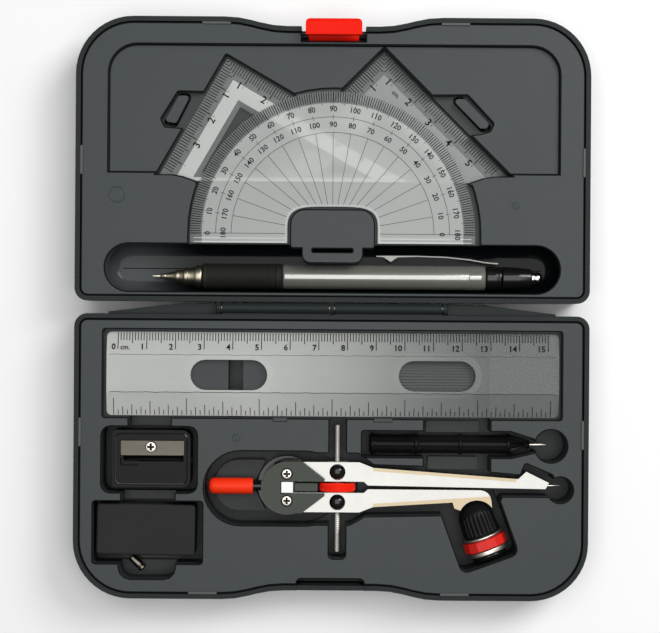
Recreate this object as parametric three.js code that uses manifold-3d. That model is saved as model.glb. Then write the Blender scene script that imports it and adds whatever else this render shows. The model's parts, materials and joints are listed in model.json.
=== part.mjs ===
// Drafting compass set: a hinged two-part case with its tray inserts, drawing instruments and bow compass.
// Millimetres, +Z up. The case lies open on its back. The hinge line is Y = 0, the lid half lies at +Y,
// the base half at -Y, and Z = 0 is the surface that both halves lie on.
import * as THREE from 'three';
import { mergeVertices } from 'three/addons/utils/BufferGeometryUtils.js';
import Module from 'manifold-3d';

const wasm = await Module();
wasm.setup();

// Driving dimensions of the case.
const GAP = 0.3;
const DEPTH = 20;
const HALF_WIDTH = 89.5;
const FRONT = 101.2;
const FRONT_MIDDLE = 98;
const REAR = 2.2;
const FRONT_RADIUS = 20;
const REAR_RADIUS = 4.5;
const WALL = 1.7;
const FLOOR = 1.6;
const TRAY_TOP = 19.2;
const TRAY_BOTTOM = 2;
const STEP_FLOOR = 17.4;
const OVER = DEPTH + 2;

// Hinge and latch.
const HINGE_Z = DEPTH + GAP / 2;
const HINGE_ARMS = [-39.2, 0, 39.2];
const HINGE_ARM_HALF = 0.75;
const BARREL_RADIUS = 1.8;
const HINGE_PIN_RADIUS = 0.8;
const HINGE_BORE_RADIUS = 1.15;
const LATCH_HALF = 9.75;
const LATCH_PIN = { y: 95.2, z: 15.5, radius: 1 };

// Stack of the clear drawing tools in the lid, bottom of each plate.
const SQUARE_45_Z = 12;
const SQUARE_60_Z = 14.3;
const PROTRACTOR_Z = 16.6;
const SHEET = 2;
const PROTRACTOR = { x: 0, y: 26, radius: 49.7, band: 3.3, notchHalf: 15.75, notchTop: 35.5 };

// Pencil axis, ruler plate and compass centre line.
const PENCIL = { y: 11.1, z: 10.5 };
const RULER = { left: -78.4, right: 79.3, back: -8.55, front: -37.7, z: 15.7, thick: 2.6 };
const RULER_HOLES = [-35.8, 36.8];
const TOOL_Z = 11.7;
const COMPASS_Y = -62.6;
const PIVOT = { x: -15.4, off: 4.7 };
const SPINDLE_X = 2.3;
const NUT_OFF = 5.3;
const ARM_BOTTOM = 9;
const ARM_TOP = 14.4;
const KNEE = { x: 51.36, y: -73.5, tilt: -70 };

// Materials.
const finish = (color, roughness, metalness = 0, opacity = 1) => new THREE.MeshStandardMaterial({
  color,
  roughness,
  metalness,
  opacity,
  transparent: opacity < 1,
});
const CASE_GREY = finish(0x4a4f4f, 0.6);
const TRAY_GREY = finish(0x4d5252, 0.55);
const HINGE_GREY = finish(0x5f6462, 0.5);
const SATIN_BLACK = finish(0x151617, 0.4);
const HEAD_GREY = finish(0x3c3f3d, 0.55);
const GLOSS_RED = finish(0xd81a12, 0.25);
const STEEL = finish(0xc9c6bf, 0.25, 1);
const NICKEL = finish(0xe6dfd2, 0.22, 1);
const BLACK_GRIP = finish(0x1b1b1a, 0.8);
const SMOKE = finish(0x7b7d70, 0.2, 0, 0.8);
const WHITE = finish(0xeeeeea, 0.5);
const CLEAR = finish(0xdfe5e2, 0.08, 0, 0.35);

// A closed three.js geometry as a solid that can be cut and joined.
function solid(geometry) {
  geometry.deleteAttribute('normal');
  geometry.deleteAttribute('uv');
  const merged = mergeVertices(geometry, 1e-4);
  const triangles = [];
  for (let i = 0; i < merged.index.count; i += 3) {
    const [a, b, c] = [0, 1, 2].map((k) => merged.index.getX(i + k));
    if (a !== b && b !== c && a !== c) triangles.push(a, b, c);
  }
  return new wasm.Manifold(new wasm.Mesh({
    numProp: 3,
    vertProperties: new Float32Array(merged.attributes.position.array),
    triVerts: new Uint32Array(triangles),
  }));
}

const join = (first, ...others) => others.reduce((all, one) => all.add(one), first);
const cut = (first, ...others) => others.reduce((all, one) => all.subtract(one), first);

// A named mesh made from a solid.
function piece(name, body, material) {
  const { vertProperties, triVerts } = body.getMesh();
  const geometry = new THREE.BufferGeometry();
  geometry.setAttribute('position', new THREE.BufferAttribute(new Float32Array(vertProperties), 3));
  geometry.setIndex(new THREE.BufferAttribute(new Uint32Array(triVerts), 1));
  geometry.computeVertexNormals();
  const mesh = new THREE.Mesh(geometry, material);
  mesh.name = name;
  return mesh;
}

const NEARLY_STRAIGHT = 0.2;

// Corners [x, y, radius] turned into an outline whose corners are arcs.
function rounded(corners, radius = 0, perQuarter = 3) {
  const points = [];
  corners.forEach(([x, y, own], i) => {
    const r = own ?? radius;
    if (r === 0) {
      points.push(new THREE.Vector2(x, y));
      return;
    }
    const here = new THREE.Vector2(x, y);
    const before = new THREE.Vector2(...corners.at(i - 1).slice(0, 2)).sub(here).normalize();
    const after = new THREE.Vector2(...corners[(i + 1) % corners.length].slice(0, 2)).sub(here).normalize();
    const half = Math.acos(before.dot(after)) / 2;
    if (Math.PI - 2 * half < NEARLY_STRAIGHT) {
      points.push(here);
      return;
    }
    const centre = before.clone().add(after).normalize().multiplyScalar(r / Math.sin(half)).add(here);
    const start = before.clone().multiplyScalar(r / Math.tan(half)).add(here).sub(centre);
    const turn = (Math.PI - 2 * half) * Math.sign(-before.cross(after));
    const steps = Math.max(2, Math.round(Math.abs(turn) / (Math.PI / 2) * perQuarter));
    for (let k = 0; k <= steps; k += 1) {
      points.push(start.clone().rotateAround(new THREE.Vector2(), turn * k / steps).add(centre));
    }
  });
  return points;
}

const box2 = (x0, x1, y0, y1, r = 0, perQuarter = 3) => rounded(
  [[x0, y0], [x1, y0], [x1, y1], [x0, y1]], r, perQuarter,
);

// An outline pulled up along Z, from z0 to z1.
function plate(points, z0, z1) {
  const geometry = new THREE.ExtrudeGeometry(new THREE.Shape(points), { depth: z1 - z0, bevelEnabled: false });
  return solid(geometry.translate(0, 0, z0));
}

function block(x0, x1, y0, y1, z0, z1) {
  const geometry = new THREE.BoxGeometry(x1 - x0, y1 - y0, z1 - z0);
  return solid(geometry.translate((x0 + x1) / 2, (y0 + y1) / 2, (z0 + z1) / 2));
}

// Rods along X, Y and Z.
function rodX(r, x0, x1, y, z, sides = 12) {
  const geometry = new THREE.CylinderGeometry(r, r, x1 - x0, sides);
  return solid(geometry.rotateZ(Math.PI / 2).translate((x0 + x1) / 2, y, z));
}

function rodY(r, y0, y1, x, z, sides = 12) {
  const geometry = new THREE.CylinderGeometry(r, r, y1 - y0, sides);
  return solid(geometry.translate(x, (y0 + y1) / 2, z));
}

function rodZ(r, z0, z1, x, y, sides = 16, rTop = r) {
  const geometry = new THREE.CylinderGeometry(rTop, r, z1 - z0, sides);
  return solid(geometry.rotateX(Math.PI / 2).translate(x, y, (z0 + z1) / 2));
}

// A profile of [place along X, radius] turned about a line along X.
function turnedX(profile, y, z, sides = 16) {
  const points = profile.map(([x, r]) => new THREE.Vector2(r, x));
  const geometry = new THREE.LatheGeometry(points, sides);
  return solid(geometry.rotateZ(-Math.PI / 2).translate(0, y, z));
}

// A side view in Y and Z pulled along X.
function slabX(points, x0, x1) {
  const geometry = new THREE.ExtrudeGeometry(new THREE.Shape(points), { depth: x1 - x0, bevelEnabled: false });
  geometry.rotateY(Math.PI / 2).rotateX(Math.PI / 2);
  return solid(geometry.translate(x0, 0, 0));
}

// ---- Case ----

// Outline of one half of the case, drawn inwards by inset. side is 1 for the lid and -1 for the base.
function caseOutline(inset, side) {
  const w = HALF_WIDTH - inset;
  const rear = REAR + inset;
  const front = FRONT - inset;
  const middle = FRONT_MIDDLE - inset;
  const corners = [
    [-w, rear, REAR_RADIUS - inset], [w, rear, REAR_RADIUS - inset], [w, front, FRONT_RADIUS - inset],
    [33, front, 38], [21, middle, 38], [-21, middle, 38], [-33, front, 38], [-w, front, FRONT_RADIUS - inset],
  ];
  return rounded(corners, 0, 12).map((p) => new THREE.Vector2(p.x, p.y * side));
}

// Open-topped shell of one half, its bottom edge rounded over.
function caseShell(side) {
  const ease = 2;
  const geometry = new THREE.ExtrudeGeometry(new THREE.Shape(caseOutline(0, side)), {
    depth: DEPTH,
    bevelThickness: ease,
    bevelSize: ease,
    bevelOffset: -ease,
    bevelSegments: 2,
  });
  const outside = solid(geometry.translate(0, 0, ease));
  const room = block(-HALF_WIDTH, HALF_WIDTH, -FRONT, FRONT, -1, DEPTH);
  return cut(outside.intersect(room), plate(caseOutline(WALL, side), FLOOR, OVER));
}

function lidShell() {
  const arms = HINGE_ARMS.map((x) => join(
    rodX(1.9, x - HINGE_ARM_HALF, x + HINGE_ARM_HALF, 0, HINGE_Z, 16),
    block(x - HINGE_ARM_HALF, x + HINGE_ARM_HALF, -0.4, REAR + WALL, DEPTH - 3.6, DEPTH - 0.2),
  ));
  const cleared = HINGE_ARMS.map((x) => block(
    x - 1, x + 1, -BARREL_RADIUS - 1, -0.4, DEPTH - 5, HINGE_Z - BARREL_RADIUS,
  ));
  const whole = join(caseShell(1), ...arms);
  const notch = block(-11.2, 11.2, FRONT_MIDDLE - WALL - 0.5, FRONT, 9.3, OVER);
  const bore = rodX(HINGE_BORE_RADIUS, -45, 45, 0, HINGE_Z);
  const pinBore = rodX(LATCH_PIN.radius + 0.35, -14, 14, LATCH_PIN.y, LATCH_PIN.z);
  return cut(whole, notch, bore, pinBore, ...cleared);
}

function baseShell() {
  const barrels = [[-38.15, -1.05], [1.05, 38.15]].map(([x0, x1]) => join(
    rodX(BARREL_RADIUS, x0, x1, 0, HINGE_Z, 16),
    block(x0, x1, -REAR - WALL, 0, DEPTH - 4, DEPTH),
  ));
  const wings = [-1, 1].map((s) => plate(
    [[40.3, -REAR - 1], [40.3, 1.4], [53, 1.4], [78, -1.5], [78, -REAR - 1]].map(
      ([x, y]) => new THREE.Vector2(x * s, y),
    ),
    8, DEPTH - 2.5,
  ));
  const bore = rodX(HINGE_BORE_RADIUS, -45, 45, 0, HINGE_Z);
  const lipWindow = block(-10.6, 10.6, -FRONT, -FRONT_MIDDLE + WALL + 0.5, 13.9, 17.2);
  const barTop = block(-11.7, 11.7, -FRONT, -FRONT_MIDDLE + WALL + 0.5, DEPTH - 0.5, OVER);
  return cut(join(caseShell(-1), ...barrels, ...wings), bore, lipWindow, barTop);
}

function latch() {
  const { y, z } = LATCH_PIN;
  const plateOuter = rounded([
    [98.3, z - 2.9, 0.4], [100.2, z - 2.9, 0.9], [100.2, DEPTH + 5, 1.3], [94.3, DEPTH + 5, 0.7],
    [94.3, DEPTH + 3.4, 0.3], [98.3, DEPTH + 3.4, 0.5],
  ], 0, 2);
  const face = slabX(plateOuter, -LATCH_HALF, LATCH_HALF);
  const corners = plate(box2(-LATCH_HALF, LATCH_HALF, 90, 100.2, 1.7), 5, 30);
  const eye = join(
    rodX(2, -LATCH_HALF + 1, LATCH_HALF - 1, y, z, 16),
    block(-LATCH_HALF + 1, LATCH_HALF - 1, y, 98.6, z - 1.2, z + 1.2),
  );
  return cut(join(face.intersect(corners), eye), rodX(LATCH_PIN.radius + GAP, -20, 20, y, z, 16));
}

// ---- Trays ----

const trayBlock = (side) => plate(caseOutline(WALL + GAP, side), TRAY_BOTTOM, TRAY_TOP);
const pocket = (points, floor) => plate(points, floor, OVER);

// Corner points of a triangle moved inwards, each edge by its own distance. Edge i runs from corner i to i + 1.
function insetTriangle(corners, distances) {
  const lines = corners.map(([x, y], i) => {
    const [nx, ny] = corners[(i + 1) % 3];
    const along = new THREE.Vector2(nx - x, ny - y).normalize();
    const inward = new THREE.Vector2(-along.y, along.x);
    return { from: new THREE.Vector2(x, y).addScaledVector(inward, distances[i]), along };
  });
  return lines.map((line, i) => {
    const last = lines.at(i - 1);
    const t = line.from.clone().sub(last.from).cross(line.along) / last.along.cross(line.along);
    const meet = last.from.clone().addScaledVector(last.along, t);
    return [meet.x, meet.y];
  });
}

// Right-angled corner last, long edge first, anticlockwise.
const SQUARE_60 = [[-62, 44.3], [37.3, 44.3], [-37.2, 87.3]];
const SQUARE_45 = [[-28, 44.3], [63.4, 44.3], [17.7, 90]];
const WINDOW_60 = insetTriangle(SQUARE_60, [3, 12.4, 12.4]);
const WINDOW_45 = insetTriangle(SQUARE_45, [3, 16, 16]);

// A lip of the tray that keeps a set square's outer corner, which is trimmed to it. side is 1 at +X.
function cornerLip(side, room = 0) {
  return [
    [47.6, 43], [66, 43], [66, 46.4 + room], [56, 46.3 + room], [52.5, 45.7 + room], [47.6, 44 + room],
  ].map(([x, y]) => new THREE.Vector2(side * x, y));
}

// A set square: its outline and window, less the corner under the tray's lip.
function setSquare(corners, window, z, side) {
  const whole = sheet(rounded(corners), z);
  return cut(whole, plate(rounded(window, 0.5), 0, OVER), plate(cornerLip(side, GAP), 0, OVER));
}

// A finger notch beside a set square, with the raised pad in it.
const NOTCHES = [
  {
    edge: [[-42, 75.2], [-54.2, 75.4], [-60.1, 65.8], [-58.7, 63], [-53.8, 62.7], [-50, 62.3]],
    pad: [[-54, 74], [-50, 74], [-54.9, 64.3], [-58.9, 65]],
  },
  {
    edge: [[32, 74.5], [47.9, 60.8], [51.5, 61.2], [54.8, 62.2], [56, 64.9], [46.8, 74.7]],
    pad: [[41.2, 73.5], [46, 73.4], [54.5, 64.7], [53.5, 63.2], [51.4, 63.2]],
  },
];

function trayNotch({ edge, pad }) {
  const wide = pocket(rounded(edge, 0.8), SQUARE_45_Z + 2);
  const moat = pocket(rounded(edge, 0.8), SQUARE_45_Z - 4).intersect(plate(growPad(pad), 0, OVER));
  return { wide, moat, island: plate(rounded(pad, 1), SQUARE_45_Z - 5, TRAY_TOP - 2.2) };
}

// The pad's outline pushed out by the width of the groove round it.
function growPad(pad) {
  const centre = pad.reduce((sum, [x, y]) => sum.add(new THREE.Vector2(x, y)), new THREE.Vector2());
  centre.divideScalar(pad.length);
  return rounded(pad.map(([x, y]) => {
    const out = new THREE.Vector2(x, y).sub(centre);
    const far = out.clone().addScaledVector(out.clone().normalize(), 1.3).add(centre);
    return [far.x, far.y, 1.4];
  }));
}

function lidTray() {
  const step = pocket(rounded([[-78.2, 47.1, 0], [78.9, 47.1, 0], [78.9, 91.7, 10], [-78.2, 91.7, 10]], 0, 8), STEP_FLOOR);
  const bed45 = pocket(rounded(insetTriangle(SQUARE_45, [-0.7, -0.9, -0.9]), 0.6), SQUARE_45_Z - GAP);
  const bed60 = pocket(rounded(insetTriangle(SQUARE_60, [-0.7, -0.9, -0.9]), 0.6), SQUARE_60_Z - GAP);
  const { x, y, radius } = PROTRACTOR;
  const bedRadius = radius + 1.1;
  const arc = Array.from({ length: 33 }, (_, i) => new THREE.Vector2(
    x + 0.6 + bedRadius * Math.cos(Math.PI * i / 32), y + bedRadius * Math.sin(Math.PI * i / 32),
  ));
  const bedProtractor = pocket([
    ...arc, new THREE.Vector2(x + 0.6 - bedRadius, 21.9), new THREE.Vector2(x + 0.6 + bedRadius, 21.9),
  ], PROTRACTOR_Z - GAP);
  const bedPencil = pocket(box2(-79.2, 79.2, 5.6, 22.2, 8.29, 9), 4.5);
  const notches = NOTCHES.map(trayNotch);
  const boss = plate(rounded([[-14.75, 20.9, 1], [14.75, 20.9, 1], [14.75, 34.5, 5], [-14.75, 34.5, 5]], 0, 4), 4, TRAY_TOP);
  const tab = cut(
    plate(rounded([[-10.7, 15.7, 3], [10.7, 15.7, 3], [10.7, 22, 0], [-10.7, 22, 0]], 0, 4), 17.4, TRAY_TOP),
    plate(box2(-7, 7, 19.6, 20.8, 0.3), 17, OVER),
  );
  const post = plate(rounded(
    [[-40.9, 50.2], [-23.9, 50.2], [-16.4, 57.6], [-31.6, 66.4, 2]], 1,
  ), SQUARE_45_Z - 2, SQUARE_60_Z + SHEET - 0.1);
  const latchNotch = block(-11.2, 11.2, 92.9, FRONT, 9.3, OVER);
  const pinBore = rodX(LATCH_PIN.radius + GAP, -14, 14, LATCH_PIN.y, LATCH_PIN.z);
  const cuts = notches.flatMap(({ wide, moat }) => [wide, moat]);
  const islands = notches.map(({ island }) => island);
  const lips = [-1, 1].map((side) => plate(cornerLip(side), SQUARE_45_Z - 2, TRAY_TOP));
  const sunk = cut(trayBlock(1), step, bed60, ...cuts, bed45, bedProtractor, bedPencil, latchNotch, pinBore);
  return join(sunk, boss, tab, post, ...islands, ...lips);
}

// Outline of the compass's leg bed, from the head to the needle foot.
const LEG_BED = [
  [-20, -50.4], [-20, -75.2], [6.5, -75.2], [11.9, -72.2], [40, -71.6], [52, -69.5], [59, -66.4], [59.6, -65],
  [77.3, -65], [77.3, -57.5], [67.6, -53.4], [66, -57.6], [32.3, -54.8], [14.9, -54.4], [9.5, -50.4],
];

function adaptorBed() {
  const angle = (KNEE.tilt * Math.PI) / 180;
  const along = new THREE.Vector2(Math.cos(angle), Math.sin(angle));
  const across = new THREE.Vector2(-along.y, along.x);
  const at = (a, b) => {
    const p = new THREE.Vector2(KNEE.x, KNEE.y).addScaledVector(along, a).addScaledVector(across, b);
    return [p.x, p.y];
  };
  return rounded([[...at(-9, -11.3), 0], [...at(15.5, -11.3), 2.5], [...at(15.5, 9.4), 2.5], [...at(-7, 9.4), 0]]);
}

function baseTray() {
  const bedRuler = pocket(box2(-79.6, 80.2, -38.3, -7.6, 0.8, 2), RULER.z - GAP);
  const channels = [[-36.1, -30.9], [50, 55.3]].map(([x0, x1]) => block(x0, x1, -38, -8.4, 8, OVER));
  const bedSharpener = pocket(box2(-79.9, -46.6, -64.5, -41.5, 3), 5);
  const bedEraser = pocket(box2(-82.8, -44.6, -89.2, -67.5, 1), 6);
  const fingers = [
    pocket(box2(-70.5, -55.8, -44, -36, 1), 10), pocket(box2(-72.9, -54.3, -69, -62, 1), 10),
    pocket(box2(-73.6, -54, -94.5, -84, 4), 8),
  ];
  const bedHead = pocket(box2(-44.2, 4, -75.6, -49.8, 12.85, 9), 4);
  const bedLegs = pocket(rounded(LEG_BED, 0.8), 6.5);
  const bedWheel = block(-4.9, 9.5, -66, -59, 4.5, OVER);
  const bedSpindle = pocket(box2(-0.6, 5.2, -87, -36, 1.5), 7);
  const bedAdaptor = pocket(adaptorBed(), 3.4);
  const bedPoint = rodZ(4.5, 6.5, OVER, 79.8, -62.65, 32);
  const bedPricker = pocket(rounded([
    [10.7, -51.6], [62.5, -51.6], [71, -49.6], [71, -45.2], [62.5, -42.5], [10.7, -42.5],
  ], 0.8), 7.4);
  const bedPrickerPoint = rodZ(5.7, 7.4, OVER, 76.5, -47.4, 36);
  const fingerWell = pocket(box2(32.3, 55.4, -57.4, -36, 0.8), 7.4);
  const catchNotch = pocket(rounded(
    [[-11.7, -FRONT], [11.7, -FRONT], [11.7, -94.1, 1.5], [-11.7, -94.1, 1.5]],
  ), 11);
  const headPad = plate(rounded([[-41, -71.6, 8.5], [-23, -71.6, 0.5], [-27.5, -62.6, 0.5],
    [-23, -53.6, 0.5], [-41, -53.6, 8.5]], 0, 5), 3, 8);
  const fingerPads = [[33.4, 52.2, -43.3, -39.3], [34.1, 51.7, -56.4, -51.9]].map(
    ([x0, x1, y0, y1]) => plate(box2(x0, x1, y0, y1, 0.5, 2), 6, 10),
  );
  const sunk = cut(
    trayBlock(-1), bedRuler, ...channels, bedSharpener, bedEraser, ...fingers, bedHead, bedLegs, bedWheel,
    bedSpindle, bedAdaptor, bedPoint, bedPricker, bedPrickerPoint, fingerWell, catchNotch,
  );
  return join(sunk, headPad, ...fingerPads);
}

// ---- Clear drawing tools ----

const sheet = (outline, z, thick = SHEET) => plate(outline, z, z + thick);

function protractor() {
  const { x, y, radius, band, notchHalf, notchTop } = PROTRACTOR;
  const arc = Array.from({ length: 49 }, (_, i) => new THREE.Vector2(
    x + radius * Math.cos(Math.PI * i / 48), y + radius * Math.sin(Math.PI * i / 48),
  ));
  const low = y - band;
  const whole = sheet([...arc, new THREE.Vector2(x - radius, low), new THREE.Vector2(x + radius, low)], PROTRACTOR_Z);
  const notch = plate(rounded(
    [[-notchHalf, low - 5, 0], [notchHalf, low - 5, 0], [notchHalf, notchTop, 6], [-notchHalf, notchTop, 6]], 0, 5,
  ), 10, OVER);
  return cut(whole, notch);
}

function ruler() {
  const { left, right, back, front, z, thick } = RULER;
  const holes = RULER_HOLES.map((x) => plate(box2(x - 13.4, x + 13.4, -28.7, -18.1, 5.29, 5), 0, OVER));
  return cut(sheet(box2(left, right, front, back, 1.7), z, thick), ...holes);
}

// ---- Mechanical pencil, tip towards -X ----

function pencilClip() {
  const back = [[15.3, 18.9], [30, 19], [40, 18.7], [48, 17.9], [54, 16.9], [58.5, 16.5]];
  const front = [[58.5, 15.7], [54, 16.1], [48, 17.1], [40, 17.9], [30, 18.2], [23, 18], [20.5, 16.3], [18, 18], [15.3, 18.2]];
  const outline = [...back, ...front].map(([x, y]) => new THREE.Vector2(x, y));
  return plate(outline, PENCIL.z - 1.6, PENCIL.z + 1.6);
}

function pencilPieces() {
  const turned = (profile, sides) => turnedX(profile, PENCIL.y, PENCIL.z, sides);
  return [
    piece('pencil_lead_sleeve', turned([[-63.3, 0], [-63.3, 0.4], [-60.6, 0.55], [-60.6, 0]], 10), STEEL),
    piece('pencil_tip_cone', turned([
      [-60.3, 0], [-60.3, 0.9], [-55.3, 1.9], [-55, 2.5], [-50.3, 3.2], [-50, 3.7], [-45.9, 4.1], [-45.9, 0],
    ]), NICKEL),
    piece('pencil_grip', turned([
      [-45.6, 0], [-45.6, 4.2], [-45.1, 4.65], [-18.2, 4.65], [-17.7, 4.3], [-17.7, 0],
    ], 20), BLACK_GRIP),
    piece('pencil_barrel', turned([[-17.4, 0], [-17.4, 4.3], [53.8, 4.3], [53.8, 0]], 20), SMOKE),
    piece('pencil_trim_ring', turned([[54.1, 0], [54.1, 4.25], [59.4, 4.1], [59.4, 0]], 20), SATIN_BLACK),
    piece('pencil_end_cap', turned([
      [59.7, 0], [59.7, 4.1], [70.2, 3.3], [70.2, 2.7], [64.9, 2.7], [64.9, 0],
    ], 20), SATIN_BLACK),
    piece('pencil_push_button', turned([[67.9, 0], [67.9, 2.35], [72.6, 2.35], [73.7, 1.6], [74, 0]], 14), STEEL),
    piece('pencil_clip', pencilClip(), STEEL),
  ];
}

// ---- Sharpener, eraser, pricker and spare point ----

const SHARPENER = { left: -76.5, right: -49, back: -42.8, front: -62.9, bottom: 5.3, top: 17.3, coneY: -53.6, coneZ: 11.4 };
const BLADE_SCREW = { x: -62.7, y: -48.6 };

function sharpenerPieces() {
  const { left, right, back, front, bottom, top, coneY, coneZ } = SHARPENER;
  const outline = rounded([[left, front, 1], [right, front, 3], [right, back, 3], [left, back, 1]]);
  const cone = turnedX([[-73.5, 0], [-73.5, 0.9], [right + 0.1, 4], [right + 0.1, 0]], coneY, coneZ, 20);
  const chipSlot = block(-72.5, -51.5, -53.7, -51.6, coneZ, OVER);
  const relief = block(-73.5, -67, -55.2, -52.6, top - 2, OVER);
  const body = cut(
    plate(outline, bottom, top), cone, chipSlot, relief, rodZ(1.3, 13, OVER, BLADE_SCREW.x, BLADE_SCREW.y, 12),
  );
  const blade = cut(
    plate(box2(-73.3, -51.1, -51.6, -46.4, 0.3, 2), top + GAP, top + GAP + 0.6),
    rodZ(1.3, 13, OVER, BLADE_SCREW.x, BLADE_SCREW.y, 12),
  );
  const screw = join(
    rodZ(2, top + 2 * GAP + 0.6, top + 2 * GAP + 1.4, BLADE_SCREW.x, BLADE_SCREW.y, 16, 1.5),
    rodZ(0.95, 13.4, top + 1.5, BLADE_SCREW.x, BLADE_SCREW.y, 10),
  );
  return [
    piece('sharpener_body', body, SATIN_BLACK),
    piece('sharpener_blade', blade, STEEL),
    piece('sharpener_screw', screw, STEEL),
  ];
}

const ERASER_BED = 6;
const ERASER_THICK = 11;

function eraser() {
  const body = new THREE.Shape(box2(-17.2, 17.2, -8.9, 8.9, 1.2));
  const geometry = new THREE.ExtrudeGeometry(body, {
    depth: ERASER_THICK - 1, bevelThickness: 0.5, bevelSize: 0.5, bevelOffset: -0.5, bevelSegments: 1,
  });
  geometry.rotateZ(-0.012).translate(-64.5, -77.6, ERASER_BED + GAP + 0.5);
  return solid(geometry);
}

const PRICKER_Y = -47.4;

function prickerPieces() {
  const handle = turnedX([
    [13.4, 0], [13.4, 3], [14, 3.75], [62.2, 3.75], [66, 2.4], [69.7, 1.3], [69.7, 0.95], [66.6, 0.95], [66.6, 0],
  ], PRICKER_Y, TOOL_Z, 8);
  const needle = turnedX([[67, 0], [67, 0.6], [73.6, 0.6], [75.9, 0.1], [75.9, 0]], PRICKER_Y, TOOL_Z, 10);
  return [piece('pricker_handle', handle, SATIN_BLACK), piece('pricker_needle', needle, STEEL)];
}

function sparePoint() {
  const geometry = new THREE.CylinderGeometry(1.4, 1.4, 6, 14);
  return solid(geometry.rotateZ(-Math.PI / 4).translate(-68.2, -90.1, 9.7));
}

// ---- Bow compass, lying on its side, needle towards +X ----

// Points [x, distance from the centre line] laid out on one side of the compass.
const beside = (side, corners) => corners.map(([x, off, r]) => [x, COMPASS_Y + side * off, r ?? 0]);

// What the spindle and its nut need inside an arm.
function spindleRoom(side) {
  const y = COMPASS_Y + side * NUT_OFF;
  return join(
    rodZ(2.8, 0, 30, SPINDLE_X, y, 20),
    block(SPINDLE_X - 3.4, SPINDLE_X + 3.4, y - 6, y + 6, TOOL_Z - 1.5, TOOL_Z + 1.5),
  );
}

const pivotBore = (side) => rodZ(1.3, 0, 30, PIVOT.x, COMPASS_Y + side * PIVOT.off, 14);

function needleArm() {
  const outline = rounded(beside(1, [
    [-19.3, 1.95, 3.25], [11.6, 1.95], [13, 0.65], [75.3, -0.2], [76.5, 2], [68.5, 5.9],
    [65.7, 3.3], [14.8, 6.9], [10, 8.8], [-11, 8.8, 2], [-19.3, 8.6, 3.25],
  ]), 0, 4);
  const needleBore = rodX(0.9, 72.4, 80, COMPASS_Y + 0.85, TOOL_Z);
  return cut(plate(outline, ARM_BOTTOM, ARM_TOP), spindleRoom(1), pivotBore(1), needleBore);
}

function adaptorArm() {
  const outline = rounded([
    ...beside(-1, [
      [-19.3, 8.6, 3.25], [-11, 8.8, 2], [10, 8.8], [14.8, 6.9], [42.7, 5.1], [43.4, 7.2], [51, 10],
      [56.6, 7], [56, 0.7, 4], [13, 0.65], [11.6, 1.95], [-19.3, 1.95, 3.25],
    ]),
  ], 0, 4);
  const socket = rodZ(6.6, 0, 30, KNEE.x, KNEE.y, 40);
  return cut(plate(outline, ARM_BOTTOM, ARM_TOP), spindleRoom(-1), pivotBore(-1), socket);
}

function spindleNut(side) {
  const y = COMPASS_Y + side * NUT_OFF;
  const post = rodZ(2.45, 8.6, 14.5, SPINDLE_X, y, 20);
  const head = rodZ(2.45, 14.5, 15.6, SPINDLE_X, y, 20, 1.6);
  return cut(join(post, head), rodY(1.45, y - 5, y + 5, SPINDLE_X, TOOL_Z, 14));
}

function headBack() {
  const cheek = rodZ(10.4, 6.8, 8.7, -15.4, COMPASS_Y, 60);
  const rim = cut(
    rodZ(9.1, 8.4, ARM_TOP, -15.4, COMPASS_Y, 60),
    block(-19.9, 0, -80, -40, 8.7, OVER),
  );
  const neck = rodX(1.6, -27, -23.8, COMPASS_Y, TOOL_Z, 16);
  const handleRod = rodX(1.9, -41, -26.8, COMPASS_Y, TOOL_Z, 16);
  const bores = [1, -1].map((side) => rodZ(0.95, 0, 30, PIVOT.x, COMPASS_Y + side * PIVOT.off, 12));
  return cut(join(cheek, rim, neck, handleRod), ...bores);
}

function headFront() {
  const outline = rounded([
    ...beside(1, [[-2.2, 2.9, 0.5], [-10.2, 9.05, 0.6], [-24.15, 9.05, 9]]),
    ...beside(-1, [[-24.15, 9.05, 9], [-10.2, 9.05, 0.6], [-2.2, 2.9, 0.5]]),
  ], 0, 12);
  const slot = block(-14.6, 0, COMPASS_Y - 2.2, COMPASS_Y + 2.2, 10, OVER);
  const tagSeat = block(-17.6, -12.9, COMPASS_Y - 2.2, COMPASS_Y + 2.2, 15.7, OVER);
  const heads = [1, -1].flatMap((side) => [
    rodZ(2.15, 15.6, OVER, PIVOT.x, COMPASS_Y + side * PIVOT.off, 20),
    rodZ(1.3, 10, OVER, PIVOT.x, COMPASS_Y + side * PIVOT.off, 12),
  ]);
  return cut(plate(outline, ARM_TOP + GAP, 16.6), slot, tagSeat, ...heads);
}

function pivotScrew(side) {
  const y = COMPASS_Y + side * PIVOT.off;
  return join(rodZ(1.8, 15.9, 16.5, PIVOT.x, y, 18), rodZ(0.6, 7.2, 15.9, PIVOT.x, y, 10));
}

// Pieces turned about the adaptor's own axis, which starts at the knee and points away from it.
function aboutAdaptor(profile, sides) {
  const points = profile.map(([t, r]) => new THREE.Vector2(r, t));
  const geometry = new THREE.LatheGeometry(points, sides);
  geometry.rotateZ(-Math.PI / 2).rotateZ((KNEE.tilt * Math.PI) / 180);
  return solid(geometry.translate(KNEE.x, KNEE.y, TOOL_Z));
}

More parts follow.
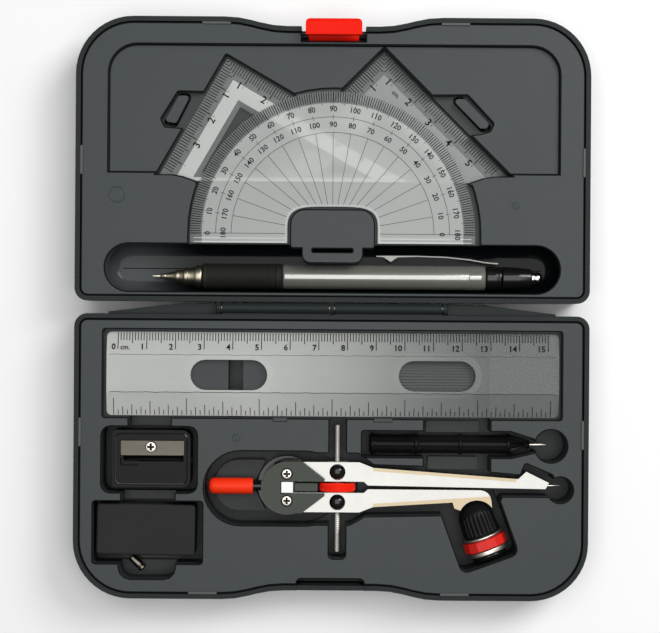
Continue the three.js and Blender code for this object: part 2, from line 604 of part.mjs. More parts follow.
function adaptorPieces() {
  const dome = Array.from({ length: 6 }, (_, i) => {
    const angle = (Math.PI / 2) * i / 5;
    return [-6.2 * Math.cos(angle), 6.2 * Math.sin(angle)];
  });
  const bore = 4.2;
  return [
    piece('adaptor_barrel', aboutAdaptor([...dome, [5.8, 6.5], [5.8, bore], [-1.5, bore], [-1.5, 0]], 24), SATIN_BLACK),
    piece('adaptor_ferrule', aboutAdaptor([
      [6.1, bore], [6.1, 7], [6.8, 7], [6.8, 5.3], [11, 5.3], [11, 6.9], [12.6, 6.9], [12.6, bore], [6.1, bore],
    ], 24), NICKEL),
    piece('adaptor_clamp_ring', aboutAdaptor([
      [7.1, 5.8], [7.1, 7.9], [10.7, 7.9], [10.7, 5.8], [7.1, 5.8],
    ], 16), GLOSS_RED),
    piece('adaptor_jaw', aboutAdaptor([
      [12.9, bore], [12.9, 6.2], [14.4, 5.5], [14.4, bore], [12.9, bore],
    ], 20), SATIN_BLACK),
  ];
}

function compassPieces() {
  const cap = cut(turnedX([
    [-42.9, 0], [-42.9, 1.9], [-42, 2.9], [-27.3, 2.9], [-27.3, 0],
  ], COMPASS_Y, TOOL_Z, 20), rodX(2.2, -41.3, -20, COMPASS_Y, TOOL_Z, 16));
  const yoke = block(-12.7, -4.6, COMPASS_Y - 1.5, COMPASS_Y + 1.5, 10.4, 15.6);
  const wheel = rodY(6.4, COMPASS_Y - 1.5, COMPASS_Y + 1.5, SPINDLE_X, TOOL_Z, 28);
  const spindle = rodY(0.9, -85.6, -40.9, SPINDLE_X, TOOL_Z, 12);
  const tag = block(-17.3, -13.2, COMPASS_Y - 1.9, COMPASS_Y + 1.9, 16, 16.5);
  const needle = turnedX([[72.8, 0], [72.8, 0.55], [79.3, 0.55], [81.3, 0.1], [81.3, 0]], COMPASS_Y + 0.85, TOOL_Z, 10);
  return [
    piece('compass_handle_cap', cap, GLOSS_RED),
    piece('compass_head_back', headBack(), SATIN_BLACK),
    piece('compass_head_front', headFront(), HEAD_GREY),
    piece('compass_pivot_screw_upper', pivotScrew(1), NICKEL),
    piece('compass_pivot_screw_lower', pivotScrew(-1), NICKEL),
    piece('compass_head_tag', tag, WHITE),
    piece('compass_needle_arm', needleArm(), NICKEL),
    piece('compass_needle', needle, STEEL),
    piece('compass_adaptor_arm', adaptorArm(), NICKEL),
    piece('compass_nut_upper', spindleNut(1), SATIN_BLACK),
    piece('compass_nut_lower', spindleNut(-1), SATIN_BLACK),
    piece('compass_yoke', yoke, HEAD_GREY),
    piece('compass_spindle', spindle, NICKEL),
    piece('compass_wheel', cut(wheel, rodY(1.2, -80, -40, SPINDLE_X, TOOL_Z, 12)), GLOSS_RED),
    ...adaptorPieces(),
  ];
}

// ---- Assembly ----

function lidGroup() {
  const group = new THREE.Group();
  group.add(
    piece('lid_shell', lidShell(), CASE_GREY),
    piece('lid_tray', lidTray(), TRAY_GREY),
    piece('latch', latch(), GLOSS_RED),
    piece('latch_pin', rodX(LATCH_PIN.radius, -13.4, 13.4, LATCH_PIN.y, LATCH_PIN.z), STEEL),
    piece('set_square_45', setSquare(SQUARE_45, WINDOW_45, SQUARE_45_Z, 1), CLEAR),
    piece('set_square_60', setSquare(SQUARE_60, WINDOW_60, SQUARE_60_Z, -1), CLEAR),
    piece('protractor', protractor(), CLEAR),
    ...pencilPieces(),
  );
  return group;
}

function baseGroup() {
  const group = new THREE.Group();
  group.add(
    piece('base_shell', baseShell(), CASE_GREY),
    piece('base_tray', baseTray(), TRAY_GREY),
    piece('hinge_pin', rodX(HINGE_PIN_RADIUS, -40, 40, 0, HINGE_Z), HINGE_GREY),
    piece('ruler', ruler(), CLEAR),
    ...sharpenerPieces(),
    piece('eraser', eraser(), SATIN_BLACK),
    ...prickerPieces(),
    piece('spare_point', sparePoint(), STEEL),
    ...compassPieces(),
  );
  return group;
}

const compassSet = new THREE.Group();
compassSet.add(lidGroup(), baseGroup());

export default compassSet;
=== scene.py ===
"""Surfaces and finishes of a drafting compass set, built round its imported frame.

Shapes are worked out in millimetres and written into the meshes in metres. The case lies open on its back:
the lid half at +Y, the base half at -Y, the hinge along X.
"""
import json
import logging
import math
from dataclasses import dataclass, field
from enum import Enum
from typing import Callable, Sequence

import bmesh
import bpy
import numpy as np
from mathutils import Matrix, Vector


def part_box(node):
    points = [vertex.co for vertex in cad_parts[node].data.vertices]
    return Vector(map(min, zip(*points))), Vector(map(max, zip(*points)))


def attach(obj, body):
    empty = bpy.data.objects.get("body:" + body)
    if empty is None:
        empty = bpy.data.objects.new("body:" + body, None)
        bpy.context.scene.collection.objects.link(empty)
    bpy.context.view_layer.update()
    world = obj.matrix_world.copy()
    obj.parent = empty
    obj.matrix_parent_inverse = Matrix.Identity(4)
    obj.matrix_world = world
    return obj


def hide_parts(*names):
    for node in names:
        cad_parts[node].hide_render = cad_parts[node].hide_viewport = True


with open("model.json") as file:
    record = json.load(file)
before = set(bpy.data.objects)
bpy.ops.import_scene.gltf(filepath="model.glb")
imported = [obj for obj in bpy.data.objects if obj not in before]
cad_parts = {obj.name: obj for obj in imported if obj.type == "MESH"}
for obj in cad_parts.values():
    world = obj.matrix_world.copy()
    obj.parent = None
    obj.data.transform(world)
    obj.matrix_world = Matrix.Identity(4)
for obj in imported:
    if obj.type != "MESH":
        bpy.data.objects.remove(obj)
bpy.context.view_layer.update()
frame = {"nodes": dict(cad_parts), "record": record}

LOG = logging.getLogger("compass_set")
MM = 0.001
SHARP_EDGE = math.radians(35)
FLAT_EDGE = math.radians(0.6)
WELD = 2e-6
CUT_GAP = 1e-7
RIM = 20.0
UP = np.array([0.0, 0.0, 1.0])

Colour = tuple[float, float, float]
Relief = Callable[[np.ndarray, np.ndarray], np.ndarray]
Points = Sequence[Sequence[float]]


# ---- Finishes ----


class Value:
    """A number or colour on a surface. Arithmetic on it adds Math nodes."""

    def __init__(self, graph: "Graph", socket: bpy.types.NodeSocket) -> None:
        """Args: graph: the material's graph. socket: the output that carries the value."""
        self.graph = graph
        self.socket = socket

    def _math(self, operation: str, first: "Value | float", second: "Value | float") -> "Value":
        """One Math node on two values."""
        return self.graph.add("ShaderNodeMath", {"operation": operation}, {0: first, 1: second})

    def __add__(self, other: "Value | float") -> "Value":
        """self + other."""
        return self._math("ADD", self, other)

    def __radd__(self, other: float) -> "Value":
        """other + self."""
        return self._math("ADD", other, self)

    def __sub__(self, other: "Value | float") -> "Value":
        """self - other."""
        return self._math("SUBTRACT", self, other)

    def __rsub__(self, other: float) -> "Value":
        """other - self."""
        return self._math("SUBTRACT", other, self)

    def __mul__(self, other: "Value | float") -> "Value":
        """self * other."""
        return self._math("MULTIPLY", self, other)

    def __rmul__(self, other: float) -> "Value":
        """other * self."""
        return self._math("MULTIPLY", other, self)


class Graph:
    """The node graph of one material."""

    def __init__(self, name: str) -> None:
        """Args: name: the material's name."""
        self.material = bpy.data.materials.new(name)
        self.material.use_nodes = True
        self.tree = self.material.node_tree
        self.shader = self.tree.nodes["Principled BSDF"]

    def feed(self, socket: bpy.types.NodeSocket, value: "Value | float | Sequence[float]") -> None:
        """Links a value to a socket, or sets the socket's own number or colour."""
        if isinstance(value, Value):
            self.tree.links.new(value.socket, socket)
        else:
            socket.default_value = value

    def add(
        self, kind: str, settings: dict | None = None, inputs: dict | None = None, output: int | str = 0,
    ) -> Value:
        """Adds a node.

        Args:
            kind: the node's type.
            settings: its settings, such as a Math node's operation.
            inputs: values or links by socket name or number.
            output: the output to return.

        Returns:
            The chosen output.
        """
        node = self.tree.nodes.new(kind)
        for name, value in (settings or {}).items():
            setattr(node, name, value)
        for key, value in (inputs or {}).items():
            self.feed(node.inputs[key], value)
        return Value(self, node.outputs[output])

    def blend(self, factor: Value, first: "Value | Colour", second: Colour) -> Value:
        """Colour that runs from first to second as factor goes from 0 to 1."""
        start = first if isinstance(first, Value) else (*first, 1)
        return self.add("ShaderNodeMix", {"data_type": "RGBA"}, {0: factor, 6: start, 7: (*second, 1)}, 2)

    def dress(self, **inputs: "Value | float") -> None:
        """Sets the surface shader's inputs, with underscores for the spaces in their names."""
        for name, value in inputs.items():
            self.feed(self.shader.inputs[name.replace("_", " ")], value)


class Grain(Enum):
    """How a surface was made: stretch of its fine pattern along X, Y and Z, and its scale per metre."""

    MOULDED = ((1.0, 1.0, 1.0), 5200.0)
    POLISHED = ((1.0, 1.0, 1.0), 160.0)
    BRUSHED_ALONG_X = ((0.04, 1.0, 1.0), 9000.0)
    RUBBED = ((1.0, 1.0, 1.0), 1800.0)


@dataclass(frozen=True)
class Shade:
    """A second colour that takes over along an axis, from one place to another, in millimetres."""

    axis: str
    start: float
    end: float
    colour: Colour


@dataclass(frozen=True)
class Finish:
    """One finish: two close colours that cloud into each other, gloss and relief.

    clouds is the scale of the colour variation per metre,
    relief the height of the fine pattern in millimetres.
    """

    name: str
    colour: Colour
    tint: Colour
    roughness: float
    grain: Grain
    spread: float = 0.08
    metallic: float = 0.0
    coat: float = 0.0
    alpha: float = 1.0
    relief: float = 0.004
    clouds: float = 45.0
    specular: float = 0.3
    shade: Shade | None = None

    def coloured(self, graph: Graph, place: Value, mixed: Value) -> Value:
        """The colour: two tones by the clouds, then the shade by a smooth step along its axis."""
        tone = graph.blend(mixed, self.colour, self.tint)
        if self.shade is None:
            return tone
        along = graph.add("ShaderNodeSeparateXYZ", inputs={"Vector": place}, output=self.shade.axis)
        share = graph.add("ShaderNodeMapRange", {"interpolation_type": "SMOOTHSTEP"}, {
            "Value": along, "From Min": self.shade.start * MM, "From Max": self.shade.end * MM,
        })
        return graph.blend(share, tone, self.shade.colour)

    def material(self) -> bpy.types.Material:
        """The finish as a material, made once."""
        ready = bpy.data.materials.get(self.name)
        if ready is not None:
            return ready
        graph = Graph(self.name)
        stretch, scale = self.grain.value
        place = graph.add("ShaderNodeTexCoord", output="Object")
        drawn = graph.add("ShaderNodeMapping", inputs={"Vector": place, "Scale": stretch}, output="Vector")
        clouds, fine, wear = (
            graph.add("ShaderNodeTexNoise", inputs={"Vector": where, "Scale": size, "Detail": detail})
            for where, size, detail in (
                (place, self.clouds, 4.0), (drawn, scale, 2.0), (drawn, self.clouds * 6, 5.0),
            )
        )
        mixed = clouds * 0.7 + wear * 0.3
        graph.dress(
            Base_Color=self.coloured(graph, place, mixed),
            Roughness=self.roughness + (fine - 0.5) * self.spread + (wear - 0.5) * self.spread,
            Metallic=self.metallic,
            Coat_Weight=self.coat,
            Coat_Roughness=0.06,
            Alpha=self.alpha,
            Specular_IOR_Level=self.specular,
            Normal=graph.add("ShaderNodeBump", inputs={
                "Strength": 1.0, "Distance": self.relief * MM, "Height": fine,
            }, output="Normal"),
        )
        return graph.material


def metal(
    name: str, colour: Colour, tint: Colour, roughness: float, grain: Grain = Grain.MOULDED, **others: float,
) -> Finish:
    """A metal finish, with any of Finish's other fields by name."""
    settings = {"spread": 0.1, "metallic": 1.0, "relief": 0.0004} | others
    return Finish(name, colour, tint, roughness, grain, **settings)


def clear(
    name: str, colour: Colour, tint: Colour, roughness: float, alpha: float, **others: object,
) -> Finish:
    """A clear plastic's finish, with any of Finish's other fields by name."""
    settings = {"grain": Grain.POLISHED, "spread": 0.02, "relief": 0.05, "clouds": 25.0} | others
    return Finish(name, colour, tint, roughness, alpha=alpha, **settings)


SHELL_GREY = Finish(
    "shell grey", (0.014, 0.018, 0.018), (0.019, 0.024, 0.024), 0.4, Grain.MOULDED, specular=0.1,
)
# Painted shade: the tray's colour darkens by height, from the land down to near-black at the pocket floors.
TRAY_GREY = Finish(
    "tray grey", (0.027, 0.034, 0.035), (0.033, 0.041, 0.041), 0.45, Grain.MOULDED, relief=0.005,
    shade=Shade("Z", 16.6, 12.0, (0.010, 0.012, 0.013)),
)
# Painted shade: the near-black rounded edges of the trays and the strips inside them stand in for the shade
# along the pocket rims.
TRAY_EDGE_SHADE = Finish(
    "tray edge", (0.004, 0.005, 0.006), (0.007, 0.008, 0.009), 0.6, Grain.POLISHED, relief=0.01,
    specular=0.03,
)
# Painted reflection: the bed's lining is lighter grey at its left end, as a reflection, and shades to
# near-black past x = -46 mm.
BED_BLACK_PAINTED_REFLECTION = Finish(
    "bed black", (0.050, 0.056, 0.058), (0.062, 0.068, 0.070), 0.16, Grain.POLISHED, relief=0.01,
    specular=0.12,
    shade=Shade("X", -70.0, -46.0, (0.004, 0.005, 0.006)),
)
HINGE_GREY = Finish("hinge grey", (0.058, 0.064, 0.062), (0.074, 0.081, 0.078), 0.4, Grain.MOULDED)
LATCH_RED = Finish(
    "latch red", (0.84, 0.014, 0.005), (0.76, 0.009, 0.003), 0.3, Grain.POLISHED, coat=0.02, relief=0.02,
    specular=0.03,
)
CAP_RED = Finish("cap red", (0.93, 0.040, 0.008), (0.82, 0.024, 0.005), 0.4, Grain.MOULDED, specular=0.12)
WHEEL_RED = Finish(
    "wheel red", (0.96, 0.022, 0.007), (0.80, 0.014, 0.004), 0.36, Grain.MOULDED, specular=0.12,
)
RING_RED = Finish("ring red", (0.72, 0.024, 0.016), (0.56, 0.012, 0.008), 0.34, Grain.MOULDED, specular=0.3)
SATIN_BLACK = Finish(
    "satin black", (0.0045, 0.005, 0.005), (0.008, 0.008, 0.008), 0.34, Grain.MOULDED, specular=0.1,
)
GLOSS_BLACK = Finish(
    "gloss black", (0.004, 0.004, 0.004), (0.008, 0.008, 0.008), 0.14, Grain.POLISHED, relief=0.01,
    specular=0.4,
)
HEAD_GREY = Finish(
    "head grey", (0.050, 0.057, 0.048), (0.062, 0.069, 0.059), 0.46, Grain.MOULDED, relief=0.006,
    specular=0.15,
)
NICKEL = metal("nickel plate", (0.315, 0.31, 0.292), (0.345, 0.34, 0.325), 0.26)
# Painted reflection: a darker, warmer copy of the nickel for the strip along each compass leg's outer edge
# and for the legs' rounded edges.
NICKEL_PAINTED_REFLECTION = metal("nickel painted reflection", (0.27, 0.215, 0.135), (0.32, 0.275, 0.20), 0.28)
SPINDLE_NICKEL = metal("spindle nickel", (0.80, 0.77, 0.70), (0.93, 0.90, 0.84), 0.5, metallic=0.6)
WARM_NICKEL = metal("warm nickel", (0.66, 0.61, 0.53), (0.84, 0.80, 0.72), 0.42)
GROUND_STEEL = metal(
    "ground steel", (0.045, 0.041, 0.032), (0.13, 0.12, 0.10), 0.36, Grain.BRUSHED_ALONG_X, spread=0.25,
    relief=0.004,
)
BRIGHT_STEEL = metal(
    "bright steel", (0.54, 0.53, 0.50), (0.72, 0.71, 0.68), 0.18, Grain.BRUSHED_ALONG_X, relief=0.001,
)
CONE_STEEL = metal(
    "cone steel", (0.36, 0.33, 0.24), (0.56, 0.52, 0.40), 0.34, Grain.BRUSHED_ALONG_X, relief=0.001,
)
CLIP_STEEL = metal(
    "clip steel", (0.10, 0.10, 0.095), (0.20, 0.20, 0.19), 0.26, Grain.BRUSHED_ALONG_X, relief=0.001,
)
DARK_STEEL = metal("dark steel", (0.10, 0.092, 0.075), (0.20, 0.18, 0.15), 0.3, relief=0.001)
GRIP_RUBBER = Finish(
    "grip rubber", (0.009, 0.009, 0.008), (0.015, 0.015, 0.013), 0.62, Grain.RUBBED, relief=0.01,
    specular=0.2,
)
ERASER_BLACK = Finish(
    "eraser rubber", (0.019, 0.020, 0.020), (0.028, 0.029, 0.028), 0.72, Grain.RUBBED, relief=0.02,
    specular=0.1,
)
SMOKE = Finish(
    "smoked plastic", (0.23, 0.237, 0.208), (0.31, 0.318, 0.28), 0.26, Grain.POLISHED, alpha=0.42,
    specular=0.6,
)
CLEAR_SQUARE_45 = clear("clear acrylic thin", (0.50, 0.53, 0.51), (0.56, 0.59, 0.57), 0.08, 0.42)
CLEAR_SQUARE_60 = clear("clear acrylic milky", (0.76, 0.80, 0.76), (0.84, 0.87, 0.84), 0.08, 0.52)
CLEAR_PROTRACTOR = clear("clear acrylic", (0.68, 0.72, 0.69), (0.75, 0.78, 0.75), 0.08, 0.42)
# Painted reflection: the streaks between the two colours along X, and the fall to darker grey from left to
# right, stand in for the lamps' sheen on the ruler.
CLEAR_RULER_PAINTED_SHEEN = clear(
    "clear acrylic painted sheen", (0.58, 0.60, 0.57), (0.98, 0.99, 0.95), 0.18, 0.5, grain=Grain.BRUSHED_ALONG_X,
    relief=0.003, shade=Shade("X", -35.0, 55.0, (0.20, 0.215, 0.205)),
)
# Painted shade: a darker copy of the clear acrylic for the tools' leaning bevel faces and for the rings round
# the ruler's holes.
CLEAR_SLOPE_SHADE = clear(
    "clear slope painted shade", (0.28, 0.30, 0.29), (0.36, 0.39, 0.37), 0.25, 0.38, grain=Grain.MOULDED, relief=0.002,
    specular=0.15,
)
CLEAR_UNDERSIDE = clear(
    "clear underside", (0.60, 0.63, 0.60), (0.70, 0.73, 0.70), 0.1, 0.07, relief=0.01, clouds=45.0,
    specular=0.1,
)
CREASE = Finish(
    "crease shadow", (0.03, 0.035, 0.035), (0.06, 0.065, 0.065), 0.3, Grain.POLISHED, alpha=0.6, specular=0.1,
)
# Painted highlight: near-white, nearly opaque strips where the protractor's notch edge and ribs catch the
# light.
EDGE_PAINTED_HIGHLIGHT = Finish("edge painted highlight", (0.88, 0.91, 0.88), (0.96, 0.98, 0.96), 0.3, Grain.MOULDED, alpha=0.8)
TAG_WHITE = Finish("tag white", (0.86, 0.86, 0.83), (0.92, 0.92, 0.90), 0.42, Grain.MOULDED)
INK = Finish("black ink", (0.006, 0.006, 0.007), (0.012, 0.012, 0.014), 0.6, Grain.MOULDED, specular=0.1)
FLOOR_PALE = Finish(
    "pale floor", (0.885, 0.885, 0.885), (0.895, 0.895, 0.895), 0.6, Grain.MOULDED, clouds=2.0, specular=0.1,
)


# ---- Places read from the frame ----


def extent(node: str) -> tuple[np.ndarray, np.ndarray]:
    """Lowest and highest corner of a CAD node, in millimetres."""
    low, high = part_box(node)
    return np.array(low) / MM, np.array(high) / MM


def body_of(node: str) -> str:
    """Name of the body that a CAD node belongs to."""
    bodies = frame["record"]["behaviour"]["bodies"]
    return next(body for body, members in bodies.items() if node in members)


def line_of(node: str) -> np.ndarray:
    """Point (0, y, z) on the middle line of a CAD node that lies along X."""
    low, high = extent(node)
    return (low + high) / 2 * [0, 1, 1]


# ---- Meshes ----


def unit(vector: Sequence[float]) -> np.ndarray:
    """The vector at length one."""
    array = np.asarray(vector, float)
    return array / np.linalg.norm(array)


def eased(profile: Points, ease: float) -> np.ndarray:
    """A profile whose corners are short parabolas.

    Each corner c becomes (1-s)^2 a + 2s(1-s) c + s^2 b, where a and b lie on its two sides,
    ease away from it.

    Args:
        profile: its points, in two or three coordinates.
        ease: how far from the corner the parabola starts, at most 0.45 of the shorter side.

    Returns:
        The new points.
    """
    points = np.asarray(profile, float)
    corner = points[1:-1]
    before, after = points[:-2] - corner, points[2:] - corner
    long_before = np.linalg.norm(before, axis=1, keepdims=True)
    long_after = np.linalg.norm(after, axis=1, keepdims=True)
    reach = np.minimum(ease, 0.45 * np.minimum(long_before, long_after))
    first = (corner + before / long_before * reach)[:, None]
    last = (corner + after / long_after * reach)[:, None]
    s = np.linspace(0, 1, 4)[None, :, None]
    curves = (1 - s) ** 2 * first + 2 * s * (1 - s) * corner[:, None] + s**2 * last
    return np.concatenate([points[:1], curves.reshape(-1, points.shape[1]), points[-1:]])


def dense(profile: Points, step: float) -> np.ndarray:
    """The profile with points added along its length, so that no two are further apart than step."""
    points = np.asarray(profile, float)
    along = np.concatenate([[0], np.cumsum(np.linalg.norm(np.diff(points, axis=0), axis=1))])
    places = np.union1d(along, np.linspace(0, along[-1], int(along[-1] / step) + 2))
    return np.stack([np.interp(places, along, column) for column in points.T], 1)


def turned(
    profile: Points, origin: Sequence[float], axis: Sequence[float], sides: int = 48,
    relief: Relief | None = None,
) -> np.ndarray:
    """A profile carried round an axis.

    Point = origin + t axis + (r + relief(t, angle)) (cos(angle) side + sin(angle) up),
    for profile points (t, r).
    The relief is left out where r is 0, so that poles stay closed.

    Args:
        profile: points (t, r), t along the axis.
        origin: where t is 0.
        axis: the direction of t.
        sides: steps round the axis.
        relief: what is added to the radius.

    Returns:
        Grid of points, one row for each profile point.
    """
    points = np.asarray(profile, float)
    along = unit(axis)
    side = unit(np.cross(along, UP)) if abs(along[2]) < 0.9 else np.array([1.0, 0.0, 0.0])
    across = np.cross(along, side)
    angle = np.linspace(0, 2 * math.pi, sides + 1)[None, :]
    t, r = points[:, :1], points[:, 1:]
    radius = r + (relief(t, angle) * (r > 0) if relief else 0 * angle)
    ring = np.cos(angle)[..., None] * side + np.sin(angle)[..., None] * across
    return np.asarray(origin, float) + t[..., None] * along + radius[..., None] * ring


def grown(outline: np.ndarray, out: float) -> np.ndarray:
    """A closed anticlockwise outline moved outwards, each point along the mean of its sides' normals."""
    edge = np.roll(outline, -1, 0) - outline
    edge = edge / np.linalg.norm(edge, axis=1, keepdims=True)
    normal = np.stack([edge[:, 1], -edge[:, 0]], 1)
    before = np.roll(normal, 1, 0)
    share = 1 + (before * normal).sum(1, keepdims=True)
    return outline + out * (before + normal) / np.maximum(share, 0.3)


def lifted(outline: np.ndarray, height: float | np.ndarray) -> np.ndarray:
    """Points (x, y) as points (x, y, height)."""
    return np.column_stack([outline, np.broadcast_to(height, len(outline))])


def stacked(outlines: Sequence[np.ndarray], heights: Sequence[float]) -> np.ndarray:
    """Closed outlines with as many points each, one above the other, as a grid."""
    rows = [lifted(outline, height) for outline, height in zip(outlines, heights)]
    return np.stack([np.concatenate([row, row[:1]]) for row in rows])


def box_outline(
    x0: float, x1: float, y0: float, y1: float, radius: float = 0.0, steps: int = 6,
) -> np.ndarray:
    """Rectangle, anticlockwise, with corners that are quarter circles: centre + radius (cos, sin)."""
    centres = np.array([
        [x1 - radius, y0 + radius], [x1 - radius, y1 - radius], [x0 + radius, y1 - radius],
        [x0 + radius, y0 + radius],
    ])
    turns = np.array([-0.5, 0.0, 0.5, 1.0])[:, None] * math.pi
    angle = turns + np.linspace(0, math.pi / 2, steps + 1 if radius else 1)[None, :]
    arcs = centres[:, None] + radius * np.stack([np.cos(angle), np.sin(angle)], -1)
    return arcs.reshape(-1, 2)


class Surface:
    """Grids, caps and loose polygons gathered into one mesh."""

    def __init__(self) -> None:
        """Starts empty."""
        self.points: list[np.ndarray] = []
        self.faces: list[Sequence[int]] = []
        self.count = 0

    def polygons(self, points: np.ndarray, faces: Sequence[Sequence[int]]) -> "Surface":
        """Adds points in millimetres and the faces between them."""
        self.points.append(np.asarray(points, float).reshape(-1, 3))
        self.faces.extend((np.asarray(face) + self.count).tolist() for face in faces)
        self.count += len(self.points[-1])
        return self

    def grid(self, points: np.ndarray) -> "Surface":
        """Adds a grid of rows and columns, one four-sided face between each four neighbours."""
        rows, columns = points.shape[:2]
        number = np.arange(rows * columns).reshape(rows, columns)
        corners = (number[:-1, :-1], number[:-1, 1:], number[1:, 1:], number[1:, :-1])
        return self.polygons(points, np.stack(corners, -1).reshape(-1, 4))

    def cap(self, loop: np.ndarray) -> "Surface":
        """Adds one face over a closed loop of points."""
        return self.polygons(loop, [range(len(loop))])

    def prism(self, outlines: Sequence[np.ndarray], heights: Sequence[float]) -> "Surface":
        """Adds a closed solid of stacked outlines with a cap at each end."""
        self.grid(stacked(outlines, heights))
        return self.cap(lifted(outlines[0], heights[0])).cap(lifted(outlines[-1], heights[-1]))

    def mesh(self, name: str, turn_out: bool = True) -> bpy.types.Mesh:
        """The gathered surface as a welded mesh whose faces point out."""
        mesh = bpy.data.meshes.new(name)
        mesh.from_pydata((np.concatenate(self.points) * MM).tolist(), [], self.faces)
        shape = bmesh.new()
        shape.from_mesh(mesh)
        bmesh.ops.remove_doubles(shape, verts=shape.verts, dist=WELD)
        bmesh.ops.dissolve_degenerate(shape, edges=shape.edges, dist=WELD / 2)
        if turn_out:
            bmesh.ops.recalc_face_normals(shape, faces=shape.faces)
        shape.to_mesh(mesh)
        shape.free()
        return mesh

    def piece(
        self, name: str, finish: Finish, body: str, slot: str, replaces: Sequence[str] = (),
        turn_out: bool = True,
    ) -> bpy.types.Object:
        """The surface as a finished piece.

        Args:
            name: the piece's name.
            finish: its finish.
            body: the body it rides on.
            slot: not used.
            replaces: the CAD nodes it stands for.
            turn_out: whether the faces are turned outwards.

        Returns:
            The piece.
        """
        return placed(self.mesh(name, turn_out), name, finish, body, replaces)


def linked(name: str, data: bpy.types.ID) -> bpy.types.Object:
    """An object that holds the data, added to the scene."""
    holder = bpy.data.objects.new(name, data)
    bpy.context.scene.collection.objects.link(holder)
    return holder


def placed(
    mesh: bpy.types.Mesh, name: str, finish: Finish, body: str, replaces: Sequence[str] = (),
) -> bpy.types.Object:
    """A mesh as a finished piece that rides on a body.

    Args:
        mesh: the mesh, whose faces keep their material numbers.
        name: the piece's name.
        finish: its first finish.
        body: the body it rides on.
        replaces: the CAD nodes it stands for.

    Returns:
        The piece.
    """
    mesh.shade_smooth()
    mesh.set_sharp_from_angle(angle=SHARP_EDGE)
    chosen = np.zeros(len(mesh.polygons), np.int32)
    mesh.polygons.foreach_get("material_index", chosen)
    mesh.materials.clear()
    mesh.materials.append(finish.material())
    mesh.polygons.foreach_set("material_index", chosen)
    piece = linked(name, mesh)
    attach(piece, body)
    if replaces:
        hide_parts(*replaces)
    LOG.info("%s: %d faces on %s", name, len(mesh.polygons), body)
    return piece


def turned_piece(
    node: str, finish: Finish, slot: str, profile: Points, origin: Sequence[float], axis: Sequence[float],
    sides: int = 48, relief: Relief | None = None,
) -> bpy.types.Object:
    """A turned piece that stands for a CAD node.

    Args:
        node: the CAD node.
        finish: the piece's finish.
        slot: not used.
        profile: points (t, r), t along the axis.
        origin: where t is 0.
        axis: the direction of t.
        sides: steps round the axis.
        relief: what is added to the radius.

    Returns:
        The piece.
    """
    surface = Surface().grid(turned(profile, origin, axis, sides, relief))
    return surface.piece(f"{node}_finished", finish, body_of(node), slot, [node])


def cut(copy: bmesh.types.BMesh, point: Sequence[float], normal: Sequence[float]) -> None:
    """Cuts a copy's faces along a plane through a point, in millimetres."""
    parts = copy.verts[:] + copy.edges[:] + copy.faces[:]
    through = [value * MM for value in point]
    bmesh.ops.bisect_plane(copy, geom=parts, plane_co=through, plane_no=tuple(normal), dist=CUT_GAP)


def lay_top(copy: bmesh.types.BMesh, middle: float, height: Callable[[np.ndarray], np.ndarray]) -> None:
    """Moves a plate's points above a middle height to the height that the upper face has there."""
    upper = [vertex for vertex in copy.verts if vertex.co.z > middle * MM]
    flat = np.array([vertex.co[:2] for vertex in upper]) / MM
    for vertex, level in zip(upper, height(flat) * MM):
        vertex.co.z = level


def eased_edges(
    piece: bpy.types.Object, width: float, segments: int = 2, finish: Finish | None = None,
) -> bpy.types.Object:
    """Rounds a piece's sharp edges.

    Args:
        piece: the piece.
        width: width of the rounded edges, in millimetres.
        segments: faces across each rounded edge.
        finish: finish of the rounded edges, where it isn't the piece's own.

    Returns:
        The piece.
    """
    bevel = piece.modifiers.new("edge", "BEVEL")
    bevel.width = width * MM
    bevel.segments = segments
    bevel.limit_method = "ANGLE"
    bevel.angle_limit = SHARP_EDGE
    bevel.miter_outer = "MITER_ARC"
    if finish:
        piece.data.materials.append(finish.material())
        bevel.material = len(piece.data.materials) - 1
    flatten = piece.modifiers.new("flat faces", "WEIGHTED_NORMAL")
    flatten.weight = 100
    flatten.keep_sharp = True
    return piece


def softened(
    node: str, finish: Finish, width: float, segments: int = 2,
    shape: Callable[[bmesh.types.BMesh], None] | None = None, edge: Finish | None = None,
) -> bpy.types.Object:
    """A CAD node's own shape with its edges rounded.

    Args:
        node: the CAD node.
        finish: the new finish.
        width: width of the rounded edges, in millimetres.
        segments: faces across each rounded edge.
        shape: what is done to the merged copy first.
        edge: finish of the rounded edges, where it isn't the piece's own.

    Returns:
        The piece that stands for the node.
    """
    mesh = frame["nodes"][node].data.copy()
    copy = bmesh.new()
    copy.from_mesh(mesh)
    bmesh.ops.remove_doubles(copy, verts=copy.verts, dist=WELD)
    bmesh.ops.dissolve_limit(copy, angle_limit=FLAT_EDGE, verts=copy.verts, edges=copy.edges)
    if shape:
        shape(copy)
    copy.to_mesh(mesh)
    copy.free()
    piece = placed(mesh, f"{node}_finished", finish, body_of(node), [node])
    return eased_edges(piece, width, segments, edge)


def face_values(piece: bpy.types.Object, name: str) -> np.ndarray:
    """A vector that each face of a piece has, such as its normal or center."""
    values = np.zeros(len(piece.data.polygons) * 3)
    piece.data.polygons.foreach_get(name, values)
    return values.reshape(-1, 3)


def number_faces(piece: bpy.types.Object, numbers: np.ndarray) -> None:
    """Sets which of its materials each face of a piece has."""
    piece.data.polygons.foreach_set("material_index", numbers.astype(np.int32))


def clear_faces(piece: bpy.types.Object, slope: Finish | None = CLEAR_SLOPE_SHADE) -> None:
    """Gives a clear tool's underside, and its faces that lean by 3 to 60 degrees, finishes of their own; the
    leaning faces' darker finish is painted shade.
    """
    for finish in filter(None, (CLEAR_UNDERSIDE, slope)):
        piece.data.materials.append(finish.material())
    rise = face_values(piece, "normal")[:, 2]
    leaning = (rise > 0.5) & (rise < math.cos(math.radians(3))) & (slope is not None)
    number_faces(piece, np.select([rise < -0.5, leaning], [1, 2], 0))


